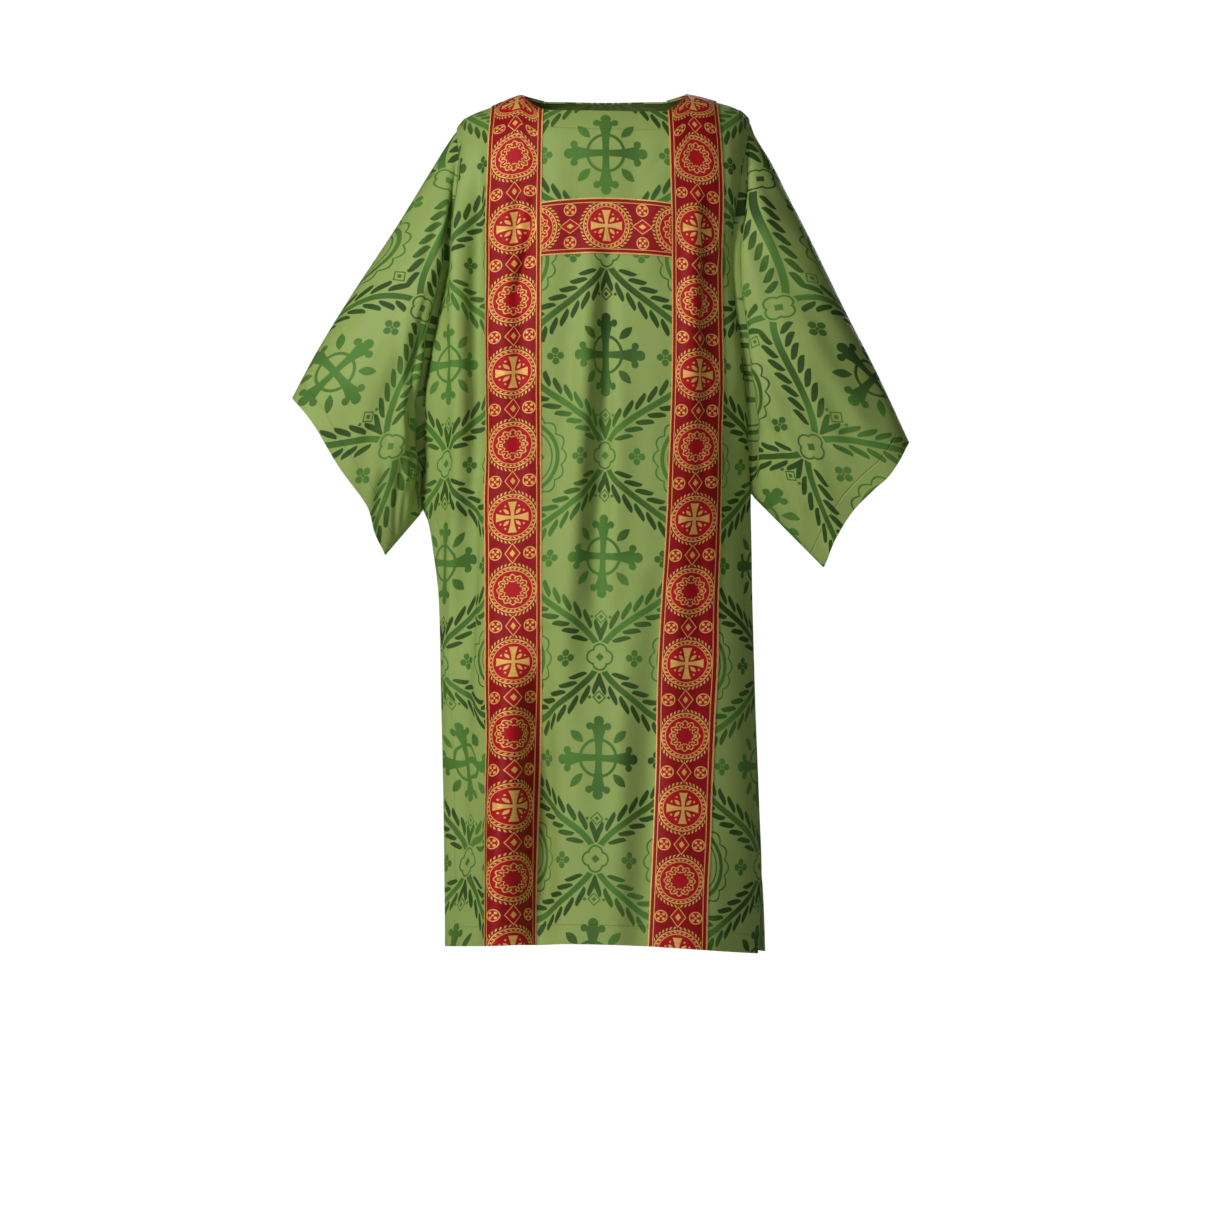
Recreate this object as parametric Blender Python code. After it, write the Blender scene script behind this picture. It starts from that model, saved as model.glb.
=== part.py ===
"""A dalmatic: a knee-length church vestment of green brocade with red woven bands, hollow as it is worn.

Metres, +Z up. The origin is the middle of the neck opening, level with the tops of the shoulders.
The front faces -Y, and the wearer's right side lies at -X. "right" and "left" are the wearer's own.
"""
import math

import bpy
from mathutils import Vector

CLOTH = 0.0020  # wall of the panels and sleeves
BAND = 0.0013  # wall of the woven bands
GAP = 0.0003  # between pieces that are sewn together
SHOULDER_ROUND = 0.090  # height over which the cloth rolls over the shoulder
EDGE_ROUND = 3.6  # how late a panel turns back towards its side edges
CUFF_DEPTH = 0.050  # half of a cuff, front to back, at its widest
SLEEVE_BULGE = 0.030  # how far a sleeve swells past the line from armhole to cuff
CUFF_FORWARD = 0.016  # the cuffs hang this far before the middle plane
CUFF_FULLEST = 0.40  # a cuff is thickest at this share of the way down its edge
BODY_HALF_WIDTH = 0.225  # of the panels, from the middle to a side edge
UNDERARM_DROP = 0.004  # the sleeve's seam dips this far below the panels' edges under the arm
SHARP_ANGLE = math.radians(50)  # edges turned further than this are drawn sharp

SIDES = ("right", "left")
FRONT, BACK = -1, 1

# The line of the shoulder seams from tip to tip, as if it ran on across the neck.
SHOULDER_LINE = (
    # x, z
    (-0.206, -0.0476),
    (-0.190, -0.0300),
    (-0.155, -0.0155),
    (-0.112, 0.0000),
    (0.000, 0.0130),
    (0.115, 0.0010),
    (0.155, -0.0080),
    (0.188, -0.0185),
    (0.206, -0.0336),
)
NECK_RIGHT, NECK_LEFT = -0.1125, 0.1160  # where the neckline meets the shoulder seams

# How far each neckline lies below that line, from one neck point to the other.
NECK_DROP = (
    # share of the way, front, back
    (0.00, 0.0000, 0.0000),
    (0.07, 0.0205, 0.0060),
    (0.14, 0.0295, 0.0110),
    (0.50, 0.0390, 0.0190),
    (0.86, 0.0320, 0.0110),
    (0.93, 0.0225, 0.0060),
    (1.00, 0.0000, 0.0000),
)

# Side edges of the panels: the armhole seam down to the underarm, then the open side slit.
EDGES = (
    # z, right x, left x, distance from the middle plane
    (0.020, -0.2060, 0.2060, 0.048),
    (-0.050, -0.2060, 0.2057, 0.050),
    (-0.110, -0.2058, 0.1995, 0.056),
    (-0.170, -0.2108, 0.1893, 0.062),
    (-0.220, -0.2158, 0.1848, 0.066),
    (-0.290, -0.2310, 0.1890, 0.066),
    (-0.350, -0.2430, 0.1975, 0.060),
    (-0.410, -0.2535, 0.2040, 0.050),
    (-0.470, -0.2562, 0.2083, 0.036),
    (-0.530, -0.2562, 0.2074, 0.018),
    (-0.570, -0.2550, 0.2068, 0.007),
    (-0.595, -0.2450, 0.2070, 0.008),
    (-0.630, -0.2386, 0.2077, 0.011),
    (-0.700, -0.2300, 0.2088, 0.014),
    (-0.850, -0.2262, 0.2128, 0.018),
    (-1.000, -0.2228, 0.2186, 0.021),
    (-1.100, -0.2216, 0.2216, 0.023),
    (-1.210, -0.2204, 0.2160, 0.025),
)
UNDERARM = (-0.579, -0.552)  # height of the underarm, right and left
BACK_FLARE = 0.011  # at the left hem the back panel stands out this far past the front
BACK_FLARE_FROM = -1.080  # height where that begins

# The two upright bands, edge by edge.
BANDS = (
    # z, right outer, right inner, left inner, left outer
    (0.020, -0.1535, -0.0810, 0.0878, 0.1555),
    (-0.080, -0.1600, -0.0845, 0.0922, 0.1657),
    (-0.220, -0.1630, -0.0853, 0.0950, 0.1662),
    (-0.400, -0.1655, -0.0858, 0.0946, 0.1680),
    (-0.600, -0.1650, -0.0850, 0.0868, 0.1630),
    (-0.800, -0.1630, -0.0852, 0.0755, 0.1565),
    (-0.950, -0.1612, -0.0860, 0.0726, 0.1507),
    (-1.210, -0.1570, -0.0918, 0.0609, 0.1418),
)

# Heights of the rows that the pieces share: at the right edge, in the middle and at the left edge.
CROSSBAND_TOP = (-0.182, -0.148, -0.182)
CROSSBAND_BOTTOM = (-0.247, -0.2255, -0.250)
FRONT_HEM = (-1.1895, -1.1830, -1.2000)
BACK_HEM = (-1.1860, -1.1840, -1.1980)

# Distance from the middle plane to the fullest part of each panel.
DEPTHS = (
    # z, front, back
    (0.020, 0.112, 0.098),
    (-0.150, 0.121, 0.116),
    (-0.350, 0.125, 0.120),
    (-0.600, 0.119, 0.106),
    (-0.900, 0.123, 0.114),
    (-1.210, 0.134, 0.130),
)

# The largest folds: each runs from its top to its foot and fades out at both ends.
FOLD_NAMES = ("top_x", "top_z", "foot_x", "foot_z", "out", "half_width")
FOLD_HOLD = 0.6  # how soon a fold fades: the lower, the nearer to its ends
FRONT_FOLDS = (
    # top x, top z, foot x, foot z, how far out (in where negative), half its width
    (-0.188, -0.540, -0.216, -0.960, -0.0075, 0.012),
    (-0.133, -0.120, -0.134, -0.520, 0.0055, 0.012),
    (-0.114, -0.110, -0.118, -0.640, -0.0060, 0.013),
    (-0.014, -0.200, -0.058, -0.800, 0.0070, 0.016),
    (0.012, -0.190, -0.008, -0.800, -0.0085, 0.014),
    (0.126, -0.130, 0.118, -0.620, 0.0065, 0.018),
    (0.112, -0.580, 0.104, -0.860, 0.0040, 0.014),
    (0.138, -0.560, 0.128, -0.880, -0.0040, 0.012),
    (0.042, -0.660, 0.004, -1.350, 0.0050, 0.020),
    (0.078, -0.660, 0.054, -1.350, -0.0055, 0.018),
    (-0.130, -0.780, -0.190, -1.400, 0.0080, 0.034),
    (-0.088, -0.740, -0.068, -1.400, -0.0130, 0.034),
)
BACK_FOLDS = (
    (-0.150, -0.240, -0.146, -1.400, -0.0090, 0.024),
    (-0.098, -0.300, -0.090, -1.400, 0.0080, 0.026),
    (-0.036, -0.180, -0.030, -0.900, -0.0070, 0.024),
    (0.010, -0.480, 0.014, -1.400, 0.0100, 0.028),
    (0.070, -0.260, 0.066, -1.400, -0.0100, 0.024),
    (0.126, -0.340, 0.120, -1.400, 0.0085, 0.024),
    (0.172, -0.420, 0.178, -1.400, -0.0070, 0.018),
    (-0.190, -0.560, -0.186, -1.400, 0.0070, 0.016),
)

# The sleeves' upper outline, from the shoulder tip to the cuff, and the cuff edge from there down.
SLEEVE_TOP = {
    "right": (
        (-0.2060, -0.0476), (-0.2226, -0.0721), (-0.2464, -0.1106), (-0.2968, -0.1918),
        (-0.3556, -0.2807), (-0.4032, -0.3584), (-0.4368, -0.4214),
    ),
    "left": (
        (0.2060, -0.0336), (0.2136, -0.0546), (0.2352, -0.0900), (0.2606, -0.1400),
        (0.2866, -0.1904), (0.3444, -0.3080), (0.3806, -0.3780), (0.4298, -0.4830),
    ),
}
CUFF_EDGE = {
    "right": (
        (-0.4368, -0.4214), (-0.4179, -0.4430), (-0.3976, -0.4718), (-0.3710, -0.5166),
        (-0.3297, -0.5740), (-0.3178, -0.6118), (-0.3038, -0.6426),
    ),
    "left": (
        (0.4298, -0.4830), (0.4004, -0.5306), (0.3780, -0.5516), (0.3486, -0.5818),
        (0.3248, -0.6202), (0.3080, -0.6600),
    ),
}
# Folds of a sleeve. Their places run across it from the top outline, 0, to the underside, 1.
SLEEVE_FOLD_RUN = 0.35  # how far each reaches along the sleeve, as a share of it
SLEEVE_FOLDS = {
    "right": (
        # from the armhole at, to the cuff at, how far out, half its width, fullest at
        (0.30, 0.22, 0.0060, 0.090, 0.55),
        (0.52, 0.50, -0.0075, 0.070, 0.40),
        (0.74, 0.70, 0.0060, 0.070, 0.60),
    ),
    "left": (
        (0.26, 0.24, 0.0060, 0.090, 0.50),
        (0.46, 0.52, -0.0070, 0.070, 0.45),
        (0.70, 0.74, 0.0060, 0.070, 0.60),
    ),
}

# How finely each stretch is divided, and how its steps gather: over 1 at its start, below at its end.
COLUMN_STEPS = {"side": 5, "band": 5, "middle": 8}
ROW_STEPS = {"shoulder": 5, "crossband": 2, "armhole": 7, "skirt": 12}
ROW_GATHER = {"shoulder": 1.5, "crossband": 1.0, "armhole": 0.8, "skirt": 1.0}
SLEEVE_STEPS = 9
SLEEVE_GATHER = 1.15


def along(table, column, at):
    """Reads a table's column at a height or share, on a smooth curve through its rows."""
    rows = table if table[0][0] < table[-1][0] else table[::-1]
    places = [row[0] for row in rows]
    at = min(max(at, places[0]), places[-1])
    low = max(i for i in range(len(rows) - 1) if places[i] <= at)

    def slope(i):
        a, b = max(i - 1, 0), min(i + 1, len(rows) - 1)
        return (rows[b][column] - rows[a][column]) / (places[b] - places[a])

    span = places[low + 1] - places[low]
    t = (at - places[low]) / span
    return (
        (2 * t**3 - 3 * t**2 + 1) * rows[low][column]
        + (t**3 - 2 * t**2 + t) * span * slope(low)
        + (3 * t**2 - 2 * t**3) * rows[low + 1][column]
        + (t**3 - t**2) * span * slope(low + 1)
    )


def mix(a, b, t):
    return a + (b - a) * t


def bell(offset):
    return math.exp(-(offset**2))


def across(heights, x):
    """A row's height at x, from its heights at the right edge, the middle and the left edge."""
    share = min(max((x + BODY_HALF_WIDTH) / (2 * BODY_HALF_WIDTH), 0.0), 1.0)
    right, middle, left = heights
    return mix(right, left, share) + (middle - (right + left) / 2) * math.sin(math.pi * share)


def top_height(x, side):
    """The upper edge of a panel: a shoulder seam, or the neckline between them."""
    z = along(SHOULDER_LINE, 1, x)
    if NECK_RIGHT < x < NECK_LEFT:
        share = (x - NECK_RIGHT) / (NECK_LEFT - NECK_RIGHT)
        z -= along(NECK_DROP, 1 if side == FRONT else 2, share)
    return z


def edge_x(z, side, which):
    x = along(EDGES, 1 if which == "right" else 2, z)
    if side == BACK and which == "left" and z < BACK_FLARE_FROM:
        x += BACK_FLARE * (BACK_FLARE_FROM - z) / (BACK_FLARE_FROM - BACK_HEM[2])
    return x


def column_lines():
    """The columns of a panel, each a share of the way between two of its key lines."""
    key_lines = ("right edge", "right outer", "right inner", "left inner", "left outer", "left edge")
    steps = [COLUMN_STEPS[name] for name in ("side", "band", "middle", "band", "side")]
    lines = []
    for part, count in enumerate(steps):
        for i in range(count):
            lines.append((key_lines[part], key_lines[part + 1], i / count))
    lines.append((key_lines[-2], key_lines[-1], 1.0))
    return lines


def key_x(line, z, side):
    if line.endswith("edge"):
        return edge_x(z, side, line.split()[0])
    return along(BANDS, 1 + ("right outer", "right inner", "left inner", "left outer").index(line), z)


def column_x(column, z, side):
    start, end, share = column
    return mix(key_x(start, z, side), key_x(end, z, side), share)


def fold_depth(folds, x, z):
    """How far the folds push the cloth out at this place."""
    out = 0.0
    for fold in (dict(zip(FOLD_NAMES, row)) for row in folds):
        t = (fold["top_z"] - z) / (fold["top_z"] - fold["foot_z"])
        if 0.0 < t < 1.0:
            middle = mix(fold["top_x"], fold["foot_x"], t)
            depth = fold["out"] * math.sin(math.pi * t**0.7) ** FOLD_HOLD
            out += depth * bell((x - middle) / fold["half_width"])
    return out


def panel_y(x, z, side):
    """Distance of a panel's outer face from the middle plane, with the sign of its side."""
    right, left = edge_x(z, side, "right"), edge_x(z, side, "left")
    offset = min(abs(2 * (x - right) / (left - right) - 1), 1.0)
    edge = along(EDGES, 3, z)
    fullness = 1 - offset**EDGE_ROUND
    depth = edge + (along(DEPTHS, 1 if side == FRONT else 2, z) - edge) * fullness
    depth += fold_depth(FRONT_FOLDS if side == FRONT else BACK_FOLDS, x, z) * fullness**0.5
    rolled = min(max((along(SHOULDER_LINE, 1, x) - z) / SHOULDER_ROUND, 0.0), 1.0)
    return side * max(depth * math.sqrt(1 - (1 - rolled) ** 2), GAP / 2)


def row_heights(column, side):
    """Heights of one column's points, top to bottom, through the rows that the pieces share."""
    top = 0.0
    for _ in range(4):
        top = top_height(column_x(column, top, side), side)
    x = column_x(column, CROSSBAND_TOP[1], side)
    underarm = mix(*UNDERARM, (x + BODY_HALF_WIDTH) / (2 * BODY_HALF_WIDTH))
    hem = FRONT_HEM if side == FRONT else BACK_HEM
    hem = across(hem, column_x(column, hem[1], side))
    marks = (top, across(CROSSBAND_TOP, x), across(CROSSBAND_BOTTOM, x), underarm, hem)
    heights = [top]
    for part, name in enumerate(("shoulder", "crossband", "armhole", "skirt")):
        count = ROW_STEPS[name]
        for i in range(1, count + 1):
            heights.append(mix(marks[part], marks[part + 1], (i / count) ** ROW_GATHER[name]))
    return heights


def panel_points(side):
    """The outer face of a panel as a grid of points: rows top to bottom, columns right to left."""
    columns = []
    for column in column_lines():
        points = []
        for row, z in enumerate(row_heights(column, side)):
            x = column_x(column, z, side)
            points.append(Vector((x, panel_y(x, z, side), z)))
        columns.append(points)
    return [list(row) for row in zip(*columns)]


def grid_normals(grid, outward, wraps=False):
    """A unit normal at each point of a grid, on the side of the direction that outward gives."""
    rows, count = len(grid), len(grid[0])
    normals = []
    for r in range(rows):
        line = []
        for c in range(count):
            if wraps:
                before, after = grid[r][c - 1], grid[r][(c + 1) % count]
            else:
                before, after = grid[r][max(c - 1, 0)], grid[r][min(c + 1, count - 1)]
            upper, lower = grid[max(r - 1, 0)][c], grid[min(r + 1, rows - 1)][c]
            normal = (after - before).cross(lower - upper).normalized()
            line.append(-normal if normal.dot(outward(grid[r][c])) < 0 else normal)
        normals.append(line)
    return normals


def armhole_rows():
    return ROW_STEPS["shoulder"] + ROW_STEPS["crossband"] + ROW_STEPS["armhole"]


def armhole_normal(before, after, side):
    """Out of the armhole's ring, so that the two rims that are sewn together there lie face to face."""
    normal = Vector((0.0, -(after - before).z, (after - before).y)).normalized()
    return -normal if normal.y * side < 0 else normal


def under_corner(side):
    """The same where a panel's edge meets the underarm."""
    return Vector((0.0, side, -1.0)).normalized()


def seam_normals(grid, normals, side):
    """Turns a panel's normals on its seams so that two pieces sewn there end face to face."""
    for normal in normals[0]:  # the shoulder seam lies in the middle plane
        normal.y = 0.0
        normal.normalize()
    last = armhole_rows()
    for column in (0, -1):
        for r in range(1, last):
            normals[r][column] = armhole_normal(grid[r - 1][column], grid[r + 1][column], side)
        normals[0][column] = Vector((0.0, 0.0, 1.0))
        normals[last][column] = under_corner(side)


def shell(name, outer, normals, thickness, colour, wraps=False):
    """A closed wall: the outer grid, the same grid set in by the thickness, and its rims."""
    rows, count = len(outer), len(outer[0])
    inner = [[p - n * thickness for p, n in zip(*pair)] for pair in zip(outer, normals)]
    points = [p for grid in (outer, inner) for row in grid for p in row]
    faces = []

    def index(layer, r, c):
        return (layer * rows + r) * count + c % count

    def quad(*corners):
        faces.append([index(*corner) for corner in corners])

    last = count if wraps else count - 1
    for r in range(rows - 1):
        for c in range(last):
            quad((0, r, c), (0, r + 1, c), (0, r + 1, c + 1), (0, r, c + 1))
            quad((1, r, c), (1, r, c + 1), (1, r + 1, c + 1), (1, r + 1, c))
    for c in range(last):
        quad((0, 0, c), (0, 0, c + 1), (1, 0, c + 1), (1, 0, c))
        quad((0, rows - 1, c), (1, rows - 1, c), (1, rows - 1, c + 1), (0, rows - 1, c + 1))
    if not wraps:
        for r in range(rows - 1):
            quad((0, r, 0), (1, r, 0), (1, r + 1, 0), (0, r + 1, 0))
            quad((0, r, last), (0, r + 1, last), (1, r + 1, last), (1, r, last))
    mesh = bpy.data.meshes.new(name)
    mesh.from_pydata(points, [], faces)
    face = mesh.polygons[0]
    if face.normal.dot(normals[0][0]) < 0:
        mesh.flip_normals()
    mesh.shade_smooth()
    mesh.set_sharp_from_angle(angle=SHARP_ANGLE)
    mesh.materials.append(colour)
    piece = bpy.data.objects.new(name, mesh)
    bpy.context.scene.collection.objects.link(piece)
    return piece


def material(name, colour, roughness):
    made = bpy.data.materials.new(name)
    made.use_nodes = True
    shader = made.node_tree.nodes["Principled BSDF"]
    shader.inputs["Base Color"].default_value = (*colour, 1.0)
    shader.inputs["Roughness"].default_value = roughness
    shader.inputs["Metallic"].default_value = 0.0
    return made


def brocade(name):
    return material(name + "_brocade", (0.26, 0.42, 0.10), 0.6)


def woven_red(name):
    return material(name + "_band", (0.44, 0.03, 0.04), 0.5)


def panel(name, side):
    """Builds a panel, and returns its points and normals for what lies on it."""
    grid = panel_points(side)
    normals = grid_normals(grid, lambda point: Vector((0.0, side, 0.001)))
    seam_normals(grid, normals, side)
    shell(name, grid, normals, CLOTH, brocade(name))
    return grid, normals


def band_columns(which):
    """The first and last column of a band."""
    first = COLUMN_STEPS["side"]
    if which == "left":
        first += COLUMN_STEPS["band"] + COLUMN_STEPS["middle"]
    return first, first + COLUMN_STEPS["band"]


def band(name, grid, normals, rows, columns, trim=0.0):
    """A band laid on a panel's own points, moved out. trim shortens it at both ends of its rows."""
    outer, facing = [], []
    for r in range(rows[0], rows[1] + 1):
        points = [p + n * (GAP + BAND) for p, n in zip(grid[r], normals[r])][columns[0] : columns[1] + 1]
        if trim:
            for end, beside in ((0, 1), (-1, -2)):
                points[end] = points[end] + (points[beside] - points[end]).normalized() * trim
        outer.append(points)
        facing.append(normals[r][columns[0] : columns[1] + 1])
    shell(name, outer, facing, BAND, woven_red(name))


def outline_point(outline, share):
    """A point at a share of an outline's length, on a smooth curve through its points."""
    points = [Vector((x, 0.0, z)) for x, z in outline]
    lengths = [0.0]
    for a, b in zip(points, points[1:]):
        lengths.append(lengths[-1] + (b - a).length)
    rows = [(length / lengths[-1], p.x, p.z) for length, p in zip(lengths, points)]
    return Vector((along(rows, 1, share), 0.0, along(rows, 2, share)))


def teardrop(share):
    """Half the thickness of a hanging cuff, 0 at the top, 1 at its fullest, 0 again at the foot."""
    foot = 0.5 * (1 - CUFF_FULLEST) / CUFF_FULLEST
    peak = CUFF_FULLEST**0.5 * (1 - CUFF_FULLEST) ** foot
    return share**0.5 * (1 - share) ** foot / peak


def sleeve_ring(which, front, back):
    """The armhole seam as a ring: down the front panel's edge, round the underarm, up the back's."""
    column = 0 if which == "right" else -1
    last = armhole_rows()
    shift = Vector((-GAP if which == "right" else GAP, 0.0, 0.0))
    top = front[0][column].copy()
    top.y = 0.0
    under = (front[last][column] + back[last][column]) / 2
    under.z -= UNDERARM_DROP
    down = [front[r][column] for r in range(1, last + 1)]
    up = [back[r][column] for r in range(last, 0, -1)]
    return [p + shift for p in [top, *down, under, *up]]


def sleeve_depth(which, t, share, seam_depth):
    """Half a sleeve's thickness, t of the way to the cuff and a share of the way down across it."""
    depth = mix(seam_depth, CUFF_DEPTH * teardrop(share), t)
    depth += SLEEVE_BULGE * math.sqrt(4 * share * (1 - share)) * math.sin(math.pi * t**0.6)
    for armhole_at, cuff_at, out, half_width, fullest in SLEEVE_FOLDS[which]:
        reach = bell((share - mix(armhole_at, cuff_at, t)) / half_width)
        run = bell((t - fullest) / SLEEVE_FOLD_RUN) * math.sin(math.pi / 2 * min(2 * t, 1.0))
        depth += out * reach * run
    return depth


def sleeve_points(which, ring):
    """Rings from the armhole seam to the cuff, stretched between the sleeve's four outlines."""
    half = len(ring) // 2
    start, under = ring[0], ring[half]
    top_line, cuff_line = SLEEVE_TOP[which], CUFF_EDGE[which]
    cuff_top, cuff_foot = outline_point(cuff_line, 0.0), outline_point(cuff_line, 1.0)
    grid = [ring]
    for step in range(1, SLEEVE_STEPS + 1):
        t = (step / SLEEVE_STEPS) ** SLEEVE_GATHER
        upper = start + outline_point(top_line, t) - outline_point(top_line, 0.0)
        lower = mix(under, cuff_foot, t)
        row = []
        for k, seam in enumerate(ring):
            share = min(max((start.z - seam.z) / (start.z - under.z), 0.0), 1.0)
            point = (
                mix(upper, lower, share)
                + mix(Vector((seam.x, 0.0, seam.z)), outline_point(cuff_line, share), t)
                - mix(mix(start, cuff_top, t), mix(under, cuff_foot, t), share)
            )
            side = FRONT if k <= half else BACK
            point.y = side * sleeve_depth(which, t, share, abs(seam.y)) - CUFF_FORWARD * t
            row.append(point)
        grid.append(row)
    return grid


def sleeve(name, which, front, back):
    ring = sleeve_ring(which, front, back)
    count = len(ring)
    half = count // 2
    grid = sleeve_points(which, ring)
    middles = [sum(row, Vector()) / count for row in grid]

    def outward(point):
        return point - min(middles, key=lambda middle: (middle - point).length)

    normals = grid_normals(grid, outward, wraps=True)
    for k in range(count):
        side = FRONT if k <= half else BACK
        normals[0][k] = armhole_normal(ring[k - 1], ring[(k + 1) % count], side)
        if k in (half - 1, half + 1):
            normals[0][k] = under_corner(side)
    normals[0][0] = Vector((0.0, 0.0, 1.0))
    normals[0][half] = Vector((0.0, 0.0, -1.0))
    shell(name, grid, normals, CLOTH, brocade(name), wraps=True)


def clear_scene():
    for thing in list(bpy.data.objects):
        bpy.data.objects.remove(thing, do_unlink=True)


def main():
    clear_scene()
    front, front_normals = panel("front_panel", FRONT)
    back, back_normals = panel("back_panel", BACK)
    all_rows = (0, len(front) - 1)
    for which in SIDES:
        sleeve("sleeve_" + which, which, front, back)
        band("front_band_" + which, front, front_normals, all_rows, band_columns(which))
        band("back_band_" + which, back, back_normals, all_rows, band_columns(which))
    rows = (ROW_STEPS["shoulder"], ROW_STEPS["shoulder"] + ROW_STEPS["crossband"])
    columns = (band_columns("right")[1], band_columns("left")[0])
    band("front_crossband", front, front_normals, rows, columns, trim=GAP)


main()
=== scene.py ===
"""The looks of a dalmatic: brocade panels and sleeves, woven bands, hems, seams, stitches and creases.

Metres, +Z up. The front faces -Y and the wearer's right side lies at -X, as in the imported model.
Each cloth piece is worked out again from the garment's own sizes, more finely than its solid.
"""
import math

import bpy
import numpy as np
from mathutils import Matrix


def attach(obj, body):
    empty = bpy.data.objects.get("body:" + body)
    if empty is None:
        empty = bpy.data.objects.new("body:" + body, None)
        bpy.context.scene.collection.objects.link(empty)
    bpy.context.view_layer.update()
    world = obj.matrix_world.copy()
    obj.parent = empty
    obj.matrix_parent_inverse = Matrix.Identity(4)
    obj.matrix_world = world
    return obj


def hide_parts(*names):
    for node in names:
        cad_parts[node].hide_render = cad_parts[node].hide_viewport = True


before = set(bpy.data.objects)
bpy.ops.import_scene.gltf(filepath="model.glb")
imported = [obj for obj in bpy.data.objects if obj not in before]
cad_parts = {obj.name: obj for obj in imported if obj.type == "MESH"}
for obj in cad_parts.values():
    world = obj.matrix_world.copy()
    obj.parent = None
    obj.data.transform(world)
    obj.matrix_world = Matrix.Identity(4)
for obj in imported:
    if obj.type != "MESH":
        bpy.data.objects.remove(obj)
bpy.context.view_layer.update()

MM = 0.001

# Walls and seams.
WALL = 0.0012  # thickness of the brocade
HEM_WALL = 0.0026  # where it is turned up and doubled
HEM_DEPTH = 0.026  # how far a hem is turned up
FACING_DEPTH = 0.031  # from the neckline down to the stitching of its facing
HEM_RAMP = 0.004  # over which the wall gets thicker there
BAND_WALL = 0.0011  # thickness of the woven bands
BAND_LIFT = 0.0014  # from the panel's outer face to the band's
BAND_WIDTH = 0.078
BAND_CROWN = 0.0006  # how much fuller a band is along its middle
SEAM_DIP = 0.0014  # how deep the cloth dips along a seam
SEAM_REACH = 0.0035  # half the width of that dip
ARMHOLE_DIP = 0.0060  # how deep the panels dip at an armhole, and half the dip's width
ARMHOLE_REACH = 0.0120
ARMHOLE_RAMPS = (0.10, 0.08)  # over which that dip grows, from the shoulder and from the underarm
VALLEYS = {"right": (0.0110, 0.0160), "left": (0.0150, 0.0180)}  # the same beyond the seam, on the sleeves
VALLEY_FROM_SEAM = 0.0090
VALLEY_RAMPS = (0.20, 0.15)  # shares of the sleeve's height over which it grows
PUCKER_PITCH = 0.017  # along the edges of the bands
PUCKER = 0.00035
PUCKER_REACH = 0.008
HELD_TOP = 0.05  # over which creases fade out towards the shoulders and the neckline
HELD_SIDE = 0.012  # and towards the side edges
HELD_LEAST = 0.15  # what is left of them at the very edge, before it is smoothed
SLEEVE_HELD = {"seam": 0.03, "top line and underside": 0.06}  # the same on a sleeve, the second as a share
FAR_OFF = 10.0  # a distance for cloth that has no such edge

# Raised stitches along the bands, and the small ones of the hems.
STITCH = {"length": 0.0026, "pitch": 0.0038, "radius": 0.00034}
HEM_STITCH = {"length": 0.0016, "pitch": 0.0090, "radius": 0.00026}
STITCH_FULL = 0.45  # share of its half length over which a stitch is thickest
STITCH_INSET = 0.45  # share of one step of the grid, in from a band's edge

# The cut, as the solids have it.
SHOULDER_ROUND = 0.090
EDGE_ROUND = 3.6
CUFF_DEPTH = 0.050
SLEEVE_BULGE = 0.030
BULGE_FLATNESS = 0.36  # half for a round sleeve, less for a flatter one
BULGE_SKEW = 0.6  # below 1 it is fullest nearer the armhole than the cuff
CUFF_FORWARD = 0.016
CUFF_FULLEST = 0.40
BODY_HALF_WIDTH = 0.225
UNDERARM_DROP = 0.004
SIDES = ("right", "left")
FRONT, BACK = -1, 1

# Tables multiplied by MM are in millimetres.
# The line of the shoulder seams from tip to tip, as if it ran on across the neck.
SHOULDER_LINE = MM * np.array((
    # x, z
    (-206, -47.6),
    (-190, -30),
    (-155, -15.5),
    (-112, 0),
    (0, 13),
    (115, 1),
    (155, -8),
    (188, -18.5),
    (206, -33.6),
))
NECK_RIGHT, NECK_LEFT = -0.1125, 0.1160

NECK_DROP = (
    # share of the way, front, back
    (0.00, 0.0000, 0.0000),
    (0.07, 0.0205, 0.0060),
    (0.14, 0.0295, 0.0110),
    (0.50, 0.0390, 0.0190),
    (0.86, 0.0320, 0.0110),
    (0.93, 0.0225, 0.0060),
    (1.00, 0.0000, 0.0000),
)

EDGES = MM * np.array((
    # z, right x, left x, distance from the middle plane
    (20, -206, 206, 48),
    (-50, -206, 205.7, 50),
    (-110, -205.8, 199.5, 56),
    (-170, -210.8, 189.3, 62),
    (-220, -215.8, 184.8, 66),
    (-290, -231, 189, 66),
    (-350, -243, 197.5, 60),
    (-410, -253.5, 204, 50),
    (-470, -256.2, 208.3, 36),
    (-530, -256.2, 207.4, 18),
    (-570, -255, 206.8, 7),
    (-595, -245, 207, 8),
    (-630, -238.6, 207.7, 11),
    (-700, -230, 208.8, 14),
    (-850, -226.2, 212.8, 18),
    (-1000, -222.8, 218.6, 21),
    (-1100, -221.6, 221.6, 23),
    (-1210, -220.4, 216, 25),
))
UNDERARM = (-0.579, -0.552)
BACK_FLARE = 0.011
BACK_FLARE_FROM = -1.080

BANDS = MM * np.array((
    # z, right outer, right inner, left inner, left outer
    (20, -153.5, -81, 87.8, 155.5),
    (-80, -160, -84.5, 92.2, 165.7),
    (-220, -163, -85.3, 95, 166.2),
    (-400, -165.5, -85.8, 94.6, 168),
    (-600, -165, -85, 86.8, 163),
    (-800, -163, -85.2, 75.5, 156.5),
    (-950, -161.2, -86, 72.6, 150.7),
    (-1210, -157, -91.8, 60.9, 141.8),
))
BAND_LINES = ("right outer", "right inner", "left inner", "left outer")

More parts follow.
